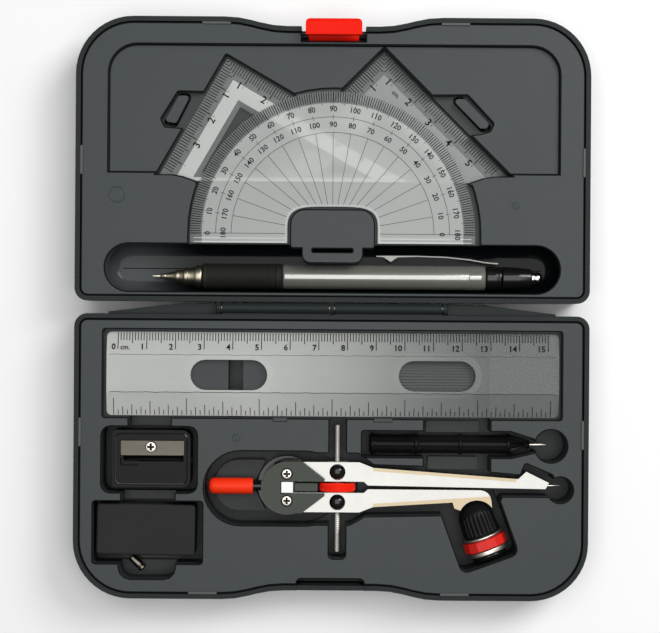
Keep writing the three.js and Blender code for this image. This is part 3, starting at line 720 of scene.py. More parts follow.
def darkened(
    piece: bpy.types.Object, chosen: Callable[[np.ndarray], np.ndarray], finish: Finish,
) -> None:
    """Gives some faces of a piece another finish.

    Args:
        piece: the piece.
        chosen: says of face centres (x, y, z) in millimetres which they are.
        finish: the finish they get.
    """
    piece.data.materials.append(finish.material())
    picked = chosen(face_values(piece, "center") / MM)
    number_faces(piece, np.where(picked, len(piece.data.materials) - 1, 0))


def dressed(node: str, finish: Finish) -> None:
    """Gives a CAD node that stays as it is its finish."""
    mesh = frame["nodes"][node].data
    mesh.materials.clear()
    mesh.materials.append(finish.material())


# ---- Printed scales ----


class Lettering:
    """Shapes of printed figures and words, each made once from the standard typeface."""

    boldness = 0.016
    capital_height = 0.72

    def __init__(self) -> None:
        """Starts with no shapes."""
        self.ready: dict[str, tuple[np.ndarray, list[list[int]]]] = {}

    def shape(self, words: str) -> tuple[np.ndarray, list[list[int]]]:
        """Points (x, y) of the words at capital height 1, centred, and the faces between them."""
        if words not in self.ready:
            curve = bpy.data.curves.new("lettering", "FONT")
            curve.body = words
            curve.align_x = "CENTER"
            curve.resolution_u = 2
            curve.offset = self.boldness
            letters = linked("lettering", curve)
            bpy.context.view_layer.update()
            mesh = bpy.data.meshes.new_from_object(letters)
            points = np.zeros(len(mesh.vertices) * 3)
            mesh.vertices.foreach_get("co", points)
            flat = points.reshape(-1, 3)[:, :2] / self.capital_height - [0, 0.5]
            self.ready[words] = (flat, [list(face.vertices) for face in mesh.polygons])
            bpy.data.objects.remove(letters)
            bpy.data.curves.remove(curve)
            bpy.data.meshes.remove(mesh)
        return self.ready[words]


LETTERING = Lettering()


class Printing:
    """Ink marks on one tool: bars and lettering that lie on its upper face."""

    thickness = 0.03
    steps = 3

    def __init__(self, height: Callable[[np.ndarray], np.ndarray]) -> None:
        """Args: height: gives the upper face's height at points (x, y)."""
        self.height = height
        self.surface = Surface()

    def on_top(self, flat: np.ndarray) -> np.ndarray:
        """Points (x, y) laid on the upper face."""
        return lifted(flat, self.height(flat) + self.thickness)

    def bars(self, starts: np.ndarray, ends: np.ndarray, widths: np.ndarray | float) -> None:
        """Adds straight marks: corners = start or end, plus or minus half a width across."""
        starts, ends = np.atleast_2d(starts).astype(float), np.atleast_2d(ends).astype(float)
        along = ends - starts
        along /= np.linalg.norm(along, axis=1, keepdims=True)
        half = np.broadcast_to(widths, len(starts)) / 2
        across = np.stack([-along[:, 1], along[:, 0]], 1) * half[:, None]
        share = np.linspace(0, 1, self.steps + 1)[None, :, None]
        line = starts[:, None] + (ends - starts)[:, None] * share
        points = np.stack([line - across[:, None], line + across[:, None]], 2)
        row = np.arange(len(starts))[:, None] * (self.steps + 1) + np.arange(self.steps)
        first = 2 * row.reshape(-1, 1)
        self.surface.polygons(self.on_top(points.reshape(-1, 2)), first + [0, 2, 3, 1])

    def curve(self, points: np.ndarray, width: float) -> None:
        """Adds a line along points (x, y)."""
        self.bars(points[:-1], points[1:], width)

    def words(self, text: str, at: Sequence[float], along: Sequence[float], height: float) -> None:
        """Adds lettering centred at a point, reading along a direction, with capitals of that height."""
        shape, faces = LETTERING.shape(text)
        x = unit(along)
        y = np.array([-x[1], x[0]])
        flat = np.asarray(at, float) + height * (shape[:, :1] * x + shape[:, 1:] * y)
        level = float(self.height(flat).max()) + self.thickness
        self.surface.polygons(lifted(flat, level), faces)

    def piece(self, name: str, tool: str, finish: Finish = INK) -> bpy.types.Object:
        """The marks as one thin layer, of ink if nothing else, that rides with a tool."""
        piece = self.surface.piece(name, finish, body_of(tool), "clear_plastic", turn_out=False)
        layer = piece.modifiers.new("ink", "SOLIDIFY")
        layer.thickness = self.thickness * MM
        layer.offset = 0
        return piece


def scale_lengths(count: int, lengths: tuple[float, float, float]) -> np.ndarray:
    """Lengths of count marks one millimetre apart: plain, every fifth and every tenth."""
    number = np.arange(count)
    return np.where(number % 10 == 0, lengths[2], np.where(number % 5 == 0, lengths[1], lengths[0]))


# ---- Clear drawing tools ----


def sides_of(corners: np.ndarray) -> tuple[np.ndarray, np.ndarray]:
    """Unit directions of a triangle's sides, from each corner to the next, and their inward normals."""
    along = np.roll(corners, -1, 0) - corners
    along = along / np.linalg.norm(along, axis=1, keepdims=True)
    return along, np.stack([-along[:, 1], along[:, 0]], 1)


def meet(corners: np.ndarray, distances: Sequence[float]) -> np.ndarray:
    """A triangle's corners after each side moves inwards: neighbouring moved sides are crossed.

    Args:
        corners: three points, anticlockwise.
        distances: how far side i, from corner i to the next, moves.

    Returns:
        The three new corners.
    """
    along, inward = sides_of(corners)
    start = corners + inward * np.asarray(distances)[:, None]
    last_start, last_along = np.roll(start, 1, 0), np.roll(along, 1, 0)
    gap = start - last_start
    t = (gap[:, 0] * along[:, 1] - gap[:, 1] * along[:, 0]) / (
        last_along[:, 0] * along[:, 1] - last_along[:, 1] * along[:, 0]
    )
    return last_start + last_along * t[:, None]


@dataclass
class SetSquare:
    """A clear set square with a window, bevelled legs and a millimetre scale along both legs.

    Its long edge lies along -Y, and the corner on the trimmed side (1 at +X) ends at the tray's lip.
    """

    node: str
    finish: Finish
    band: float
    angles: tuple[float, float]
    trimmed: int
    long_band: float = 3.0
    bevel: float = 5.6
    edge_height: float = 0.8
    window_bevel: float = 1.7
    window_height: float = 0.4
    lip: float = 2.8
    marks: tuple[float, float, float] = (3.6, 4.7, 6.4)
    mark_widths: tuple[float, float] = (0.26, 0.32)
    figure_inset: float = 6.1
    figure_size: float = 2.6
    unit_name: bool = False
    corners: np.ndarray = field(init=False)

    def __post_init__(self) -> None:
        """Finds the corners from the rise and the two angles: foot = rise / tan(angle)."""
        low, high = extent(self.node)
        rise = high[1] - low[1]
        left, right = (rise / math.tan(math.radians(angle)) for angle in self.angles)
        apex = low[0] + left if self.trimmed > 0 else high[0] - right
        self.corners = np.array([[apex - left, low[1]], [apex + right, low[1]], [apex, high[1]]])
        self.window = meet(self.corners, [self.long_band, self.band, self.band])
        self.bottom, self.top = low[2], high[2]

    @staticmethod
    def depths(flat: np.ndarray, corners: np.ndarray) -> np.ndarray:
        """Distances of points (x, y) inside each side of a triangle."""
        inward = sides_of(corners)[1]
        return np.stack([(flat - corner) @ normal for corner, normal in zip(corners, inward)], 1)

    def height(self, flat: np.ndarray) -> np.ndarray:
        """Height of the upper face: it falls from the flat towards the two legs and towards the window."""
        thick = self.top - self.bottom
        leg = np.clip(1 - self.depths(flat, self.corners)[:, 1:].min(1) / self.bevel, 0, 1)
        window = np.clip(1 + self.depths(flat, self.window).min(1) / self.window_bevel, 0, 1)
        to_window = window * thick * (1 - self.window_height)
        return self.top - np.maximum(leg * (thick - self.edge_height), to_window)

    def creases(self) -> list[tuple[np.ndarray, np.ndarray]]:
        """Lines (point, normal) where the upper face turns: bevel lines, window lines and their mitres."""
        along, inward = sides_of(self.corners)
        lines = [(self.corners[side] + inward[side] * self.bevel, inward[side]) for side in (1, 2)]
        lines += [(self.window[side] - inward[side] * self.window_bevel, inward[side]) for side in range(3)]
        mitres = [unit(along[side] + along[side - 1]) for side in range(3)]
        lines.append((self.corners[2], mitres[2]))
        lines += [(corner, mitre) for corner, mitre in zip(self.window, mitres)]
        return lines

    def thin(self, copy: bmesh.types.BMesh) -> None:
        """Cuts the copy along its creases and lowers its upper face beyond them."""
        for point, normal in self.creases():
            cut(copy, (*point, 0), (*normal, 0))
        lay_top(copy, (self.bottom + self.top) / 2, self.height)

    def leg(self, printing: Printing, far: np.ndarray, reading: float) -> None:
        """Prints one leg's scale.

        Args:
            printing: where the marks go.
            far: the leg's far corner.
            reading: 1 where the figures read away from the right angle, -1 where they read towards it.
        """
        apex = self.corners[2]
        along = unit(far - apex)
        inward = np.array([-along[1], along[0]]) * (1 if reading < 0 else -1)
        length = float(np.linalg.norm(far - apex))
        other = self.corners[0] if reading > 0 else self.corners[1]
        slope = float(np.linalg.norm(other - apex)) / length
        place = np.arange(1, int(length) - 1)
        lengths = scale_lengths(int(length) - 1, self.marks)[1:]
        lengths = np.minimum(np.minimum(lengths, place), (length - place) * slope - 0.3)
        starts = apex + place[:, None] * along + 0.12 * inward
        ends = apex + place[:, None] * along + lengths[:, None] * inward
        keep = lengths > 0.8
        if (far[0] - apex[0]) * self.trimmed > 0:
            keep &= np.minimum(starts[:, 1], ends[:, 1]) > far[1] + self.lip
        thin, thick = self.mark_widths
        printing.bars(starts[keep], ends[keep], np.where(place % 10 == 0, thick, thin)[keep])
        for number in range(1, int(length / 10)):
            at = apex + (10 * number - 1.6 * reading) * along + self.figure_inset * inward
            printing.words(str(number), at, along * reading, self.figure_size)
        if self.unit_name and reading > 0:
            printing.words("cm.", apex + 13.4 * along + 7.4 * inward, along, 1.6)

    def build(self) -> None:
        """Builds the plate and its scales."""
        clear_faces(softened(self.node, self.finish, 0.15, 2, self.thin))
        printing = Printing(self.height)
        self.leg(printing, self.corners[1], 1.0)
        self.leg(printing, self.corners[0], -1.0)
        printing.piece(f"{self.node}_scale", self.node)


@dataclass
class Protractor:
    """A clear half-circle protractor with two rings of figures round its notch."""

    notch_half: float = 15.75
    notch_rise: float = 9.5
    notch_power: float = 4.0
    band: float = 3.3
    bevel: float = 4.2
    edge_height: float = 0.9
    ribs: tuple[tuple[float, float], ...] = ((-3.1, -2.75), (-1.75, -1.45))
    marks: tuple[float, float, float] = (3.7, 4.7, 5.4)
    figure_rings: tuple[float, float] = (43.6, 38.2)
    figure_size: float = 1.9
    circles: tuple[float, float] = (40.7, 35.3)
    ticks: tuple[float, float] = (39.9, 41.6)
    base_line_end: float = 45.2

    def __post_init__(self) -> None:
        """Finds the centre, the radius and the plate's two faces."""
        low, high = extent("protractor")
        self.radius = (high - low)[0] / 2
        self.centre = np.array([(low[0] + high[0]) / 2, low[1] + self.band])
        self.bottom, self.top = low[2], high[2]

    def height(self, flat: np.ndarray) -> np.ndarray:
        """Height of the upper face: it falls to edge_height over the outermost ring."""
        far = np.linalg.norm(flat - self.centre, axis=1)
        fall = np.clip((far - self.radius + self.bevel) / self.bevel, 0, 1)
        return self.top - fall * (self.top - self.bottom - self.edge_height)

    def outside(self, inset: float, angle: np.ndarray) -> np.ndarray:
        """Outer outline: centre + (radius - inset)(cos, sin), with its two ends dropped by the band."""
        ring = (self.radius - inset) * np.stack([np.cos(angle), np.sin(angle)], 1)
        ends = ring[[0, -1]] - [0, self.band]
        return self.centre + np.concatenate([ends[:1], ring, ends[1:]])

    def notch(self, out: float, angle: np.ndarray) -> np.ndarray:
        """Notch outline, moved into the plate by out.

        A point at an angle lies where its ray from the centre leaves a box with round corners: the power mean
        r = (|cos / a|^p + |sin / b|^p)^(-1/p) of the box's half width a and rise b.
        """
        a, b, power = self.notch_half + out, self.notch_rise + out, self.notch_power
        reach = (np.abs(np.cos(angle) / a) ** power + np.abs(np.sin(angle) / b) ** power) ** (-1 / power)
        ring = reach[:, None] * np.stack([np.cos(angle), np.sin(angle)], 1)
        ends = ring[[0, -1]] - [0, self.band]
        return self.centre + np.concatenate([ends[:1], ring, ends[1:]])

    def plate(self) -> None:
        """Builds the plate from its section's outlines, and closes the two ends of the band."""
        angle = np.linspace(0, math.pi, 145)
        thick = self.top - self.bottom
        ease, chamfer = 0.15, 0.45
        section = [
            (self.outside(ease, angle), 0), (self.outside(0, angle), ease),
            (self.outside(0, angle), self.edge_height - 0.1), (self.outside(ease, angle), self.edge_height),
            (self.outside(self.bevel, angle), thick), (self.notch(chamfer, angle), thick),
            (self.notch(0, angle), thick - chamfer), (self.notch(0, angle), 0),
            (self.outside(ease, angle), 0),
        ]
        grid = np.stack([lifted(outline, self.bottom + height) for outline, height in section])
        piece = Surface().grid(grid).cap(grid[:-1, 0]).cap(grid[:-1, -1]).piece(
            "protractor_plate", CLEAR_PROTRACTOR, "protractor", "clear_plastic", ["protractor"],
        )
        clear_faces(piece)

    def edges(self) -> None:
        """Builds the near-white strip round the notch and the two moulded ribs along the straight edge, in a
        painted highlight where the edges catch the light.
        """
        angle = np.linspace(0, math.pi, 97)
        near, far = self.notch(0.04, angle), self.notch(0.75, angle)
        low, high = 0.12, 0.5
        rows = [(near, low), (far, low), (far, high), (near, high), (near, low)]
        grid = np.stack([lifted(outline, self.bottom + height) for outline, height in rows])
        edge = Surface().grid(grid).cap(grid[:-1, 0]).cap(grid[:-1, -1])
        for side in (-1, 1):
            x0, x1 = sorted((side * (self.notch_half + 0.8), side * (self.radius - 1.2)))
            for front, back in self.ribs:
                outline = box_outline(x0, x1, self.centre[1] + front, self.centre[1] + back)
                edge.prism([outline, outline], [self.bottom + 0.15, self.bottom + high])
        edge.piece("protractor_edge_painted_highlight", EDGE_PAINTED_HIGHLIGHT, "protractor", "clear_plastic")

    def build(self) -> None:
        """Builds the plate, its edges and its printing."""
        self.plate()
        self.edges()
        printing = Printing(self.height)
        degrees = np.arange(181)
        ray = np.stack([-np.cos(np.radians(degrees)), np.sin(np.radians(degrees))], 1)
        inner = self.radius - scale_lengths(len(degrees), self.marks)
        printing.bars(
            self.centre + ray * (self.radius - 0.15), self.centre + ray * inner[:, None],
            np.where(degrees % 5 == 0, 0.32, 0.26),
        )
        fine = np.linspace(0, math.pi, 145)
        for radius in self.circles:
            printing.curve(self.centre + radius * np.stack([-np.cos(fine), np.sin(fine)], 1), 0.15)
        tens = ray[::10]
        printing.bars(self.centre + tens * self.ticks[0], self.centre + tens * self.ticks[1], 0.15)
        starts = self.notch(0.7, np.radians(np.arange(180, -1, -10)))[1:-1]
        printing.bars(starts[1:-1], (self.centre + tens * self.circles[1])[1:-1], 0.14)
        for side in (0, -1):
            printing.bars(starts[side], self.centre + tens[side] * self.base_line_end, 0.14)
        for number, way in zip(range(0, 181, 10), tens):
            along = np.array([way[1], -way[0]])
            for figure, ring in zip((number, 180 - number), self.figure_rings):
                printing.words(str(figure), self.centre + way * ring, along, self.figure_size)
        printing.piece("protractor_scale", "protractor")


@dataclass
class Ruler:
    """A clear ruler, thick along its middle, with two holes, centimetres behind and inches in front."""

    zero: float = 3.9
    back_bevel: float = 7.9
    front_bevel: float = 8.2
    edge_height: float = 1.0
    centimetres: int = 15
    inch: float = 25.4
    marks: tuple[float, float, float] = (3.0, 3.9, 6.0)
    hole: tuple[float, float] = (13.5, 5.4)
    hole_places: tuple[float, float] = (-35.8, 36.8)
    rib_pitch: float = 1.02

    def __post_init__(self) -> None:
        """Finds the plate's corners and the line that the holes lie on."""
        self.low, self.high = extent("ruler")
        self.hole_line = (self.low[1] + self.high[1]) / 2 - 0.27

    def height(self, flat: np.ndarray) -> np.ndarray:
        """Height of the upper face: it falls to edge_height towards the two long edges."""
        back = (flat[:, 1] - self.high[1] + self.back_bevel) / self.back_bevel
        front = (self.low[1] + self.front_bevel - flat[:, 1]) / self.front_bevel
        fall = np.clip(np.maximum(back, front), 0, 1)
        return self.high[2] - fall * (self.high[2] - self.low[2] - self.edge_height)

    def thin(self, copy: bmesh.types.BMesh) -> None:
        """Cuts the copy along the two bevel lines and lowers its upper face beyond them."""
        for y in (self.high[1] - self.back_bevel, self.low[1] + self.front_bevel):
            cut(copy, (0, y, 0), (0, 1, 0))
        lay_top(copy, (self.low[2] + self.high[2]) / 2, self.height)

    def hole_rings(self) -> None:
        """Builds the moulded ring round each finger hole."""
        half, rise = self.hole
        for name, x in zip(("left", "right"), self.hole_places):
            front, back = self.hole_line - rise, self.hole_line + rise
            inner = box_outline(x - half, x + half, front, back, rise - 0.01, 10)
            outer = grown(inner, 2.3)
            rows = [inner, outer, outer, grown(inner, 1.2), inner, inner]
            heights = [0.3, 0.3, 0.6, 1.2, 2.2, 0.3]
            Surface().grid(stacked(rows, [self.low[2] + height for height in heights])).piece(
                f"ruler_hole_ring_{name}", CLEAR_SLOPE_SHADE, "ruler", "clear_plastic",
            )

    def bed_ribs(self) -> None:
        """Builds the insert under the right hole: ribs, a cosine wave, between two round ends."""
        x, half, rise, end = self.hole_places[1], 8.1, 5.1, 5.2
        bottom = self.low[2] - 0.28
        y = np.linspace(-rise, rise, 97)
        wide = half + np.sqrt(end**2 - y**2)
        ribs = bottom + 0.1 + 0.11 * np.cos(y * 2 * math.pi / self.rib_pitch)
        top = np.stack([np.stack([x + sign * wide, self.hole_line + y, ribs], 1) for sign in (-1, 1)], 1)
        low = top.copy()
        low[..., 2] = bottom - 0.4
        grid = np.concatenate([top, low[:, ::-1], top[:, :1]], 1)
        Surface().grid(grid).cap(grid[0, :-1]).cap(grid[-1, :-1]).piece(
            "ruler_bed_ribs", HINGE_GREY, "base", "case_tray",
        )

    def centimetre_scale(self, printing: Printing) -> None:
        """Prints the millimetre marks and figures along the back edge."""
        origin = np.array([self.low[0] + self.zero, self.high[1]])
        count = self.centimetres * 10 + 1
        place = origin + np.stack([np.arange(count), np.zeros(count)], 1)
        lengths = scale_lengths(count, self.marks)
        down = np.array([0.0, -1.0])
        printing.bars(place + 0.25 * down, place + lengths[:, None] * down, 0.28)
        for number in range(self.centimetres + 1):
            shift = -1.5 if number < 10 else -2.4
            printing.words(str(number), origin + [10 * number + shift, -5.1], (1, 0), 2.1)
        printing.words("cm.", origin + [2.5, -5.3], (1, 0), 1.7)

    def inch_scale(self, printing: Printing) -> None:
        """Prints the marks of six inches in sixteenths along the front edge."""
        number = np.arange(6 * 16 + 1)
        start = np.array([(self.low[0] + self.high[0]) / 2 - 3 * self.inch - 0.2, self.low[1]])
        place = start + np.stack([number * self.inch / 16, 0 * number], 1)
        lengths = np.select([number % part == 0 for part in (16, 8, 4, 2)], [6.0, 5.0, 3.8, 3.0], 1.9)
        up = np.array([0.0, 1.0])
        printing.bars(place + 0.25 * up, place + lengths[:, None] * up, 0.24)

    def build(self) -> None:
        """Builds the plate, its rings, its printing and the wavy shadows of its bevel lines."""
        clear_faces(softened("ruler", CLEAR_RULER_PAINTED_SHEEN, 0.18, shape=self.thin), None)
        self.hole_rings()
        self.bed_ribs()
        printing = Printing(self.height)
        self.centimetre_scale(printing)
        self.inch_scale(printing)
        printing.piece("ruler_scale", "ruler")
        creases = Printing(self.height)
        for y, width in ((self.high[1] - self.back_bevel, 0.12), (self.low[1] + self.front_bevel, 0.2)):
            x = np.linspace(self.low[0] + 1, self.high[0] - 1, 161)
            creases.curve(np.stack([x, y + 0.1 * np.sin(x * 0.9) * np.sin(x * 0.23)], 1), width)
        creases.piece("ruler_creases", "ruler", CREASE)


# ---- Case ----


@dataclass
class Case:
    """The two shells, their trays, the latch and the small moulded details of the case."""

    shell_edge: float = 0.55
    tray_edge: float = 0.12
    # Width and height of the strips of painted shade inside the tray's edges.
    lip_width: float = 0.4
    lip_rise: float = 0.02
    step_floor: float = 17.4
    pencil_bed: tuple[float, float, float, float] = (-79.2, 79.2, 5.6, 22.2)
    pencil_bed_end: float = 8.29
    pencil_bed_floor: float = 4.5
    tab: tuple[float, float] = (10.0, 1.1)
    wall: float = 87.5

    def __post_init__(self) -> None:
        """Finds the land's height."""
        self.land = extent("lid_tray")[1][2]

    def lips(self, half: str, tray: bpy.types.Object) -> None:
        """Lays a narrow strip of painted shade inside the edges of a tray's land and of its step's floor.

        Args:
            half: the body.
            tray: the tray's finished piece.
        """
        shape = bmesh.new()
        shape.from_mesh(tray.data)
        strips = Surface()
        for level in (self.land, self.step_floor):
            flat = [
                face for face in shape.faces
                if face.normal.z > 0.99 and abs(face.calc_center_median().z / MM - level) < 0.01
            ]
            inside = {face.index for face in flat}
            follow = {
                loop.vert: loop.link_loop_next.vert for face in flat for loop in face.loops
                if loop.link_loop_radial_next.face.index not in inside
            }
            while follow:
                first, vertex = follow.popitem()
                line = [first]
                while vertex is not first:
                    line.append(vertex)
                    vertex = follow.pop(vertex, first)
                outline = np.array([vertex.co[:2] for vertex in line]) / MM
                inner = grown(outline, -self.lip_width)
                strips.grid(stacked([outline, inner], [level + self.lip_rise / 4, level + self.lip_rise]))
        shape.free()
        strips.piece(f"{half}_tray_painted_shade_strips", TRAY_EDGE_SHADE, half, "case_tray", turn_out=False)

    def shells(self) -> None:
        """Builds the shells, trays and latch from the frame with rounded edges."""
        for half in ("lid", "base"):
            softened(f"{half}_shell", SHELL_GREY, self.shell_edge, 3)
            # The trays' rounded edges take the edge finish, which is painted shade along the rims.
            self.lips(half, softened(f"{half}_tray", TRAY_GREY, self.tray_edge, edge=TRAY_EDGE_SHADE))
        softened("latch", LATCH_RED, 0.45, 3)
        dressed("hinge_pin", BRIGHT_STEEL)
        dressed("latch_pin", SATIN_BLACK)

    @staticmethod
    def lining(outline: np.ndarray, top: float, floor: float, round_floor: float) -> list[np.ndarray]:
        """Rows of a bed's lining.

        The wall leans in, then turns into the floor along a quarter ellipse:
        inset = lean + R(1 - cos a), height = floor + 1.05 R(1 - sin a).

        Args:
            outline: the bed's outline.
            top: height of the lining's rim.
            floor: height of the bed's floor.
            round_floor: R, how far in from the leaning wall the floor is flat.

        Returns:
            The rows, from the rim to the floor.
        """
        lean, rise = 0.3, round_floor * 1.05
        angle = np.linspace(0, math.pi / 2, 9)
        insets = [0.06, *(lean + round_floor * (1 - np.cos(angle)))]
        heights = [top, *(floor + rise * (1 - np.sin(angle)))]
        insets.append(insets[-1] + 0.3)
        heights.append(floor)
        return [lifted(grown(outline, -inset), height) for inset, height in zip(insets, heights)]

    def bed(self) -> None:
        """Builds the glossy lining of the pencil's bed."""
        outline = box_outline(*self.pencil_bed, self.pencil_bed_end, 14)
        rows = self.lining(outline, self.land - 1.2, self.pencil_bed_floor + 0.06, 4.4)
        closed = np.stack([np.concatenate([row, row[:1]]) for row in rows])
        Surface().grid(closed).cap(rows[-1]).piece(
            "pencil_bed_lining", BED_BLACK_PAINTED_REFLECTION, "lid", "case_tray", turn_out=False,
        )

    def snap_tabs(self) -> None:
        """Builds the snap tabs that bridge the seam between each shell and its tray."""
        long, wide = (size / 2 for size in self.tab)
        along_x = {
            "lid": [(-40.8, 99.2), (42.4, 99.2), (-73.6, 3.3), (73.6, 3.3)],
            "base": [(-69.6, -3.3), (69.6, -3.3), (-44.4, -99.2), (43.2, -99.2)],
        }
        along_y = {"lid": 51.2, "base": -43.5}
        heights = [self.land - 1.5, RIM - 0.32, RIM - 0.2]
        for half, centres in along_x.items():
            tabs = Surface()
            y = along_y[half]
            boxes = [(x - long, x + long, y - wide, y + wide) for x, y in centres]
            boxes += [(x - wide, x + wide, y - long, y + long) for x in (-self.wall, self.wall)]
            for box in boxes:
                outline = box_outline(*box, 0.15, 2)
                tabs.prism([outline, outline, grown(outline, -0.12)], heights)
            tabs.piece(f"{half}_snap_tabs", HINGE_GREY, half, "case_shell")

    def marks(self) -> None:
        """Builds the rings that the moulds' ejector pins leave, the small ones with a pip in the middle."""
        places = {"lid": [(63.6, 36.0, 1.1), (-75.0, 39.2, 2.7)], "base": [(-32.9, -45.2, 1.25)]}
        bead = np.array([(0, -0.3), (0.09, -0.15), (0.12, 0), (0.06, 0.15), (0, 0.25)])
        for half, rings in places.items():
            marks = Surface()
            for x, y, radius in rings:
                marks.grid(turned(bead + [0, radius], (x, y, self.land), UP, 32))
                if radius < 2:
                    pip = [(0.08, 0), (0.08, radius * 0.22), (0, radius * 0.4)]
                    marks.grid(turned(pip, (x, y, self.land), UP, 24))
            marks.piece(f"{half}_mould_marks", TRAY_GREY, half, "case_tray", turn_out=False)

    def nubs(self) -> None:
        """Builds the two nubs at the ruler's front edge."""
        nubs = Surface()
        heights = [self.land - 1, self.land + 0.25, self.land + 0.5]
        for x0, x1 in ((-20.5, -15.3), (14.6, 21.4)):
            outline = box_outline(x0, x1, -39.5, -38.0, 0.6, 4)
            nubs.prism([outline, outline, grown(outline, -0.3)], heights)
        nubs.piece("ruler_nubs", TRAY_GREY, "base", "case_tray")

    def build(self) -> None:
        """Builds the whole case."""
        self.shells()
        self.bed()
        self.snap_tabs()
        self.marks()
        self.nubs()


# ---- Small tools ----


@dataclass
class CrossHead:
    """A domed screw head with a crossed recess and a seat round it, both painted black as shade, standing on
    its shank.
    """

    centre: tuple[float, float]
    low: float
    high: float
    radius: float
    rise: float = 0.6
    slot: float = 0.45
    half: float = 0.17
    reach: float = 0.66
    bright: float = 0.86

    def recess(self, x: np.ndarray, y: np.ndarray) -> np.ndarray:
        """Share of the recess's depth at (x, y): smooth steps at the cross's sides and ends."""
        soft = self.radius * 0.06
        across, r = np.minimum(np.abs(x), np.abs(y)), np.hypot(x, y)
        inside = np.clip((self.half * self.radius - across) / soft + 0.5, 0, 1)
        return inside * np.clip((self.reach * self.radius - r) / soft + 0.5, 0, 1)

    def dark(self, centres: np.ndarray) -> np.ndarray:
        """Which faces lie in the recess or on the seat, the faces that get painted shade."""
        x, y = centres[:, 0] - self.centre[0], centres[:, 1] - self.centre[1]
        return (self.recess(x, y) > 0.4) | (np.hypot(x, y) > self.bright * self.radius)

    def build(self, node: str, body: str, slot: str) -> None:
        """Builds the screw in place of a node.

        Height above the seat = rise sqrt(1 - 0.6 (r / radius)^2) less slot times the recess's share.

        Args:
            node: the CAD node.
            body: the body it rides on.
            slot: not used.
        """
        r = np.linspace(0, 1, 17)[:, None] * self.radius
        angle = np.linspace(0, 2 * math.pi, 73)[None, :]
        x, y = r * np.cos(angle), r * np.sin(angle)
        dome = self.rise * np.sqrt(1 - 0.6 * (r / self.radius) ** 2)
        z = self.high - self.rise + dome - self.slot * self.recess(x, y)
        top = np.stack([self.centre[0] + x, self.centre[1] + y, z], -1)
        skirt = np.stack([top[-1], top[-1] * [1, 1, 0] + [0, 0, self.low]])
        piece = Surface().grid(top).grid(skirt).cap(skirt[1, :-1]).piece(
            f"{node}_finished", WARM_NICKEL, body, slot, [node],
        )
        # Painted shade: the recess and the seat take the black finish.
        darkened(piece, self.dark, SATIN_BLACK)


@dataclass
class Sharpener:
    """Wedge-shaped pencil sharpener with its blade and screw."""

    blade_edge: float = 0.12
    rim_inset: float = 1.0
    rim_corner: float = 2.2

    def build(self) -> None:
        """Builds the body, blade, screw and the raised rim round the body's top."""
        softened("sharpener_body", SATIN_BLACK, 0.35)
        softened("sharpener_blade", GROUND_STEEL, self.blade_edge)
        low, high = extent("sharpener_screw")
        centre = tuple((low + high)[:2] / 2)
        CrossHead(centre, high[2] - 0.9, high[2], 1.9).build("sharpener_screw", "sharpener", "steel")
        low, high = extent("sharpener_body")
        outer = box_outline(
            low[0] + self.rim_inset, high[0] - self.rim_inset, low[1] + self.rim_inset,
            high[1] - self.rim_inset,
            self.rim_corner,
        )
        rows = [outer, outer, grown(outer, -0.2), grown(outer, -0.45), grown(outer, -0.45), outer]
        heights = [-0.1, 0.12, 0.2, 0.12, -0.1, -0.1]
        rim = Surface().grid(stacked(rows, [high[2] + height for height in heights]))
        rim.piece("sharpener_rim", GLOSS_BLACK, "sharpener", "black_plastic")


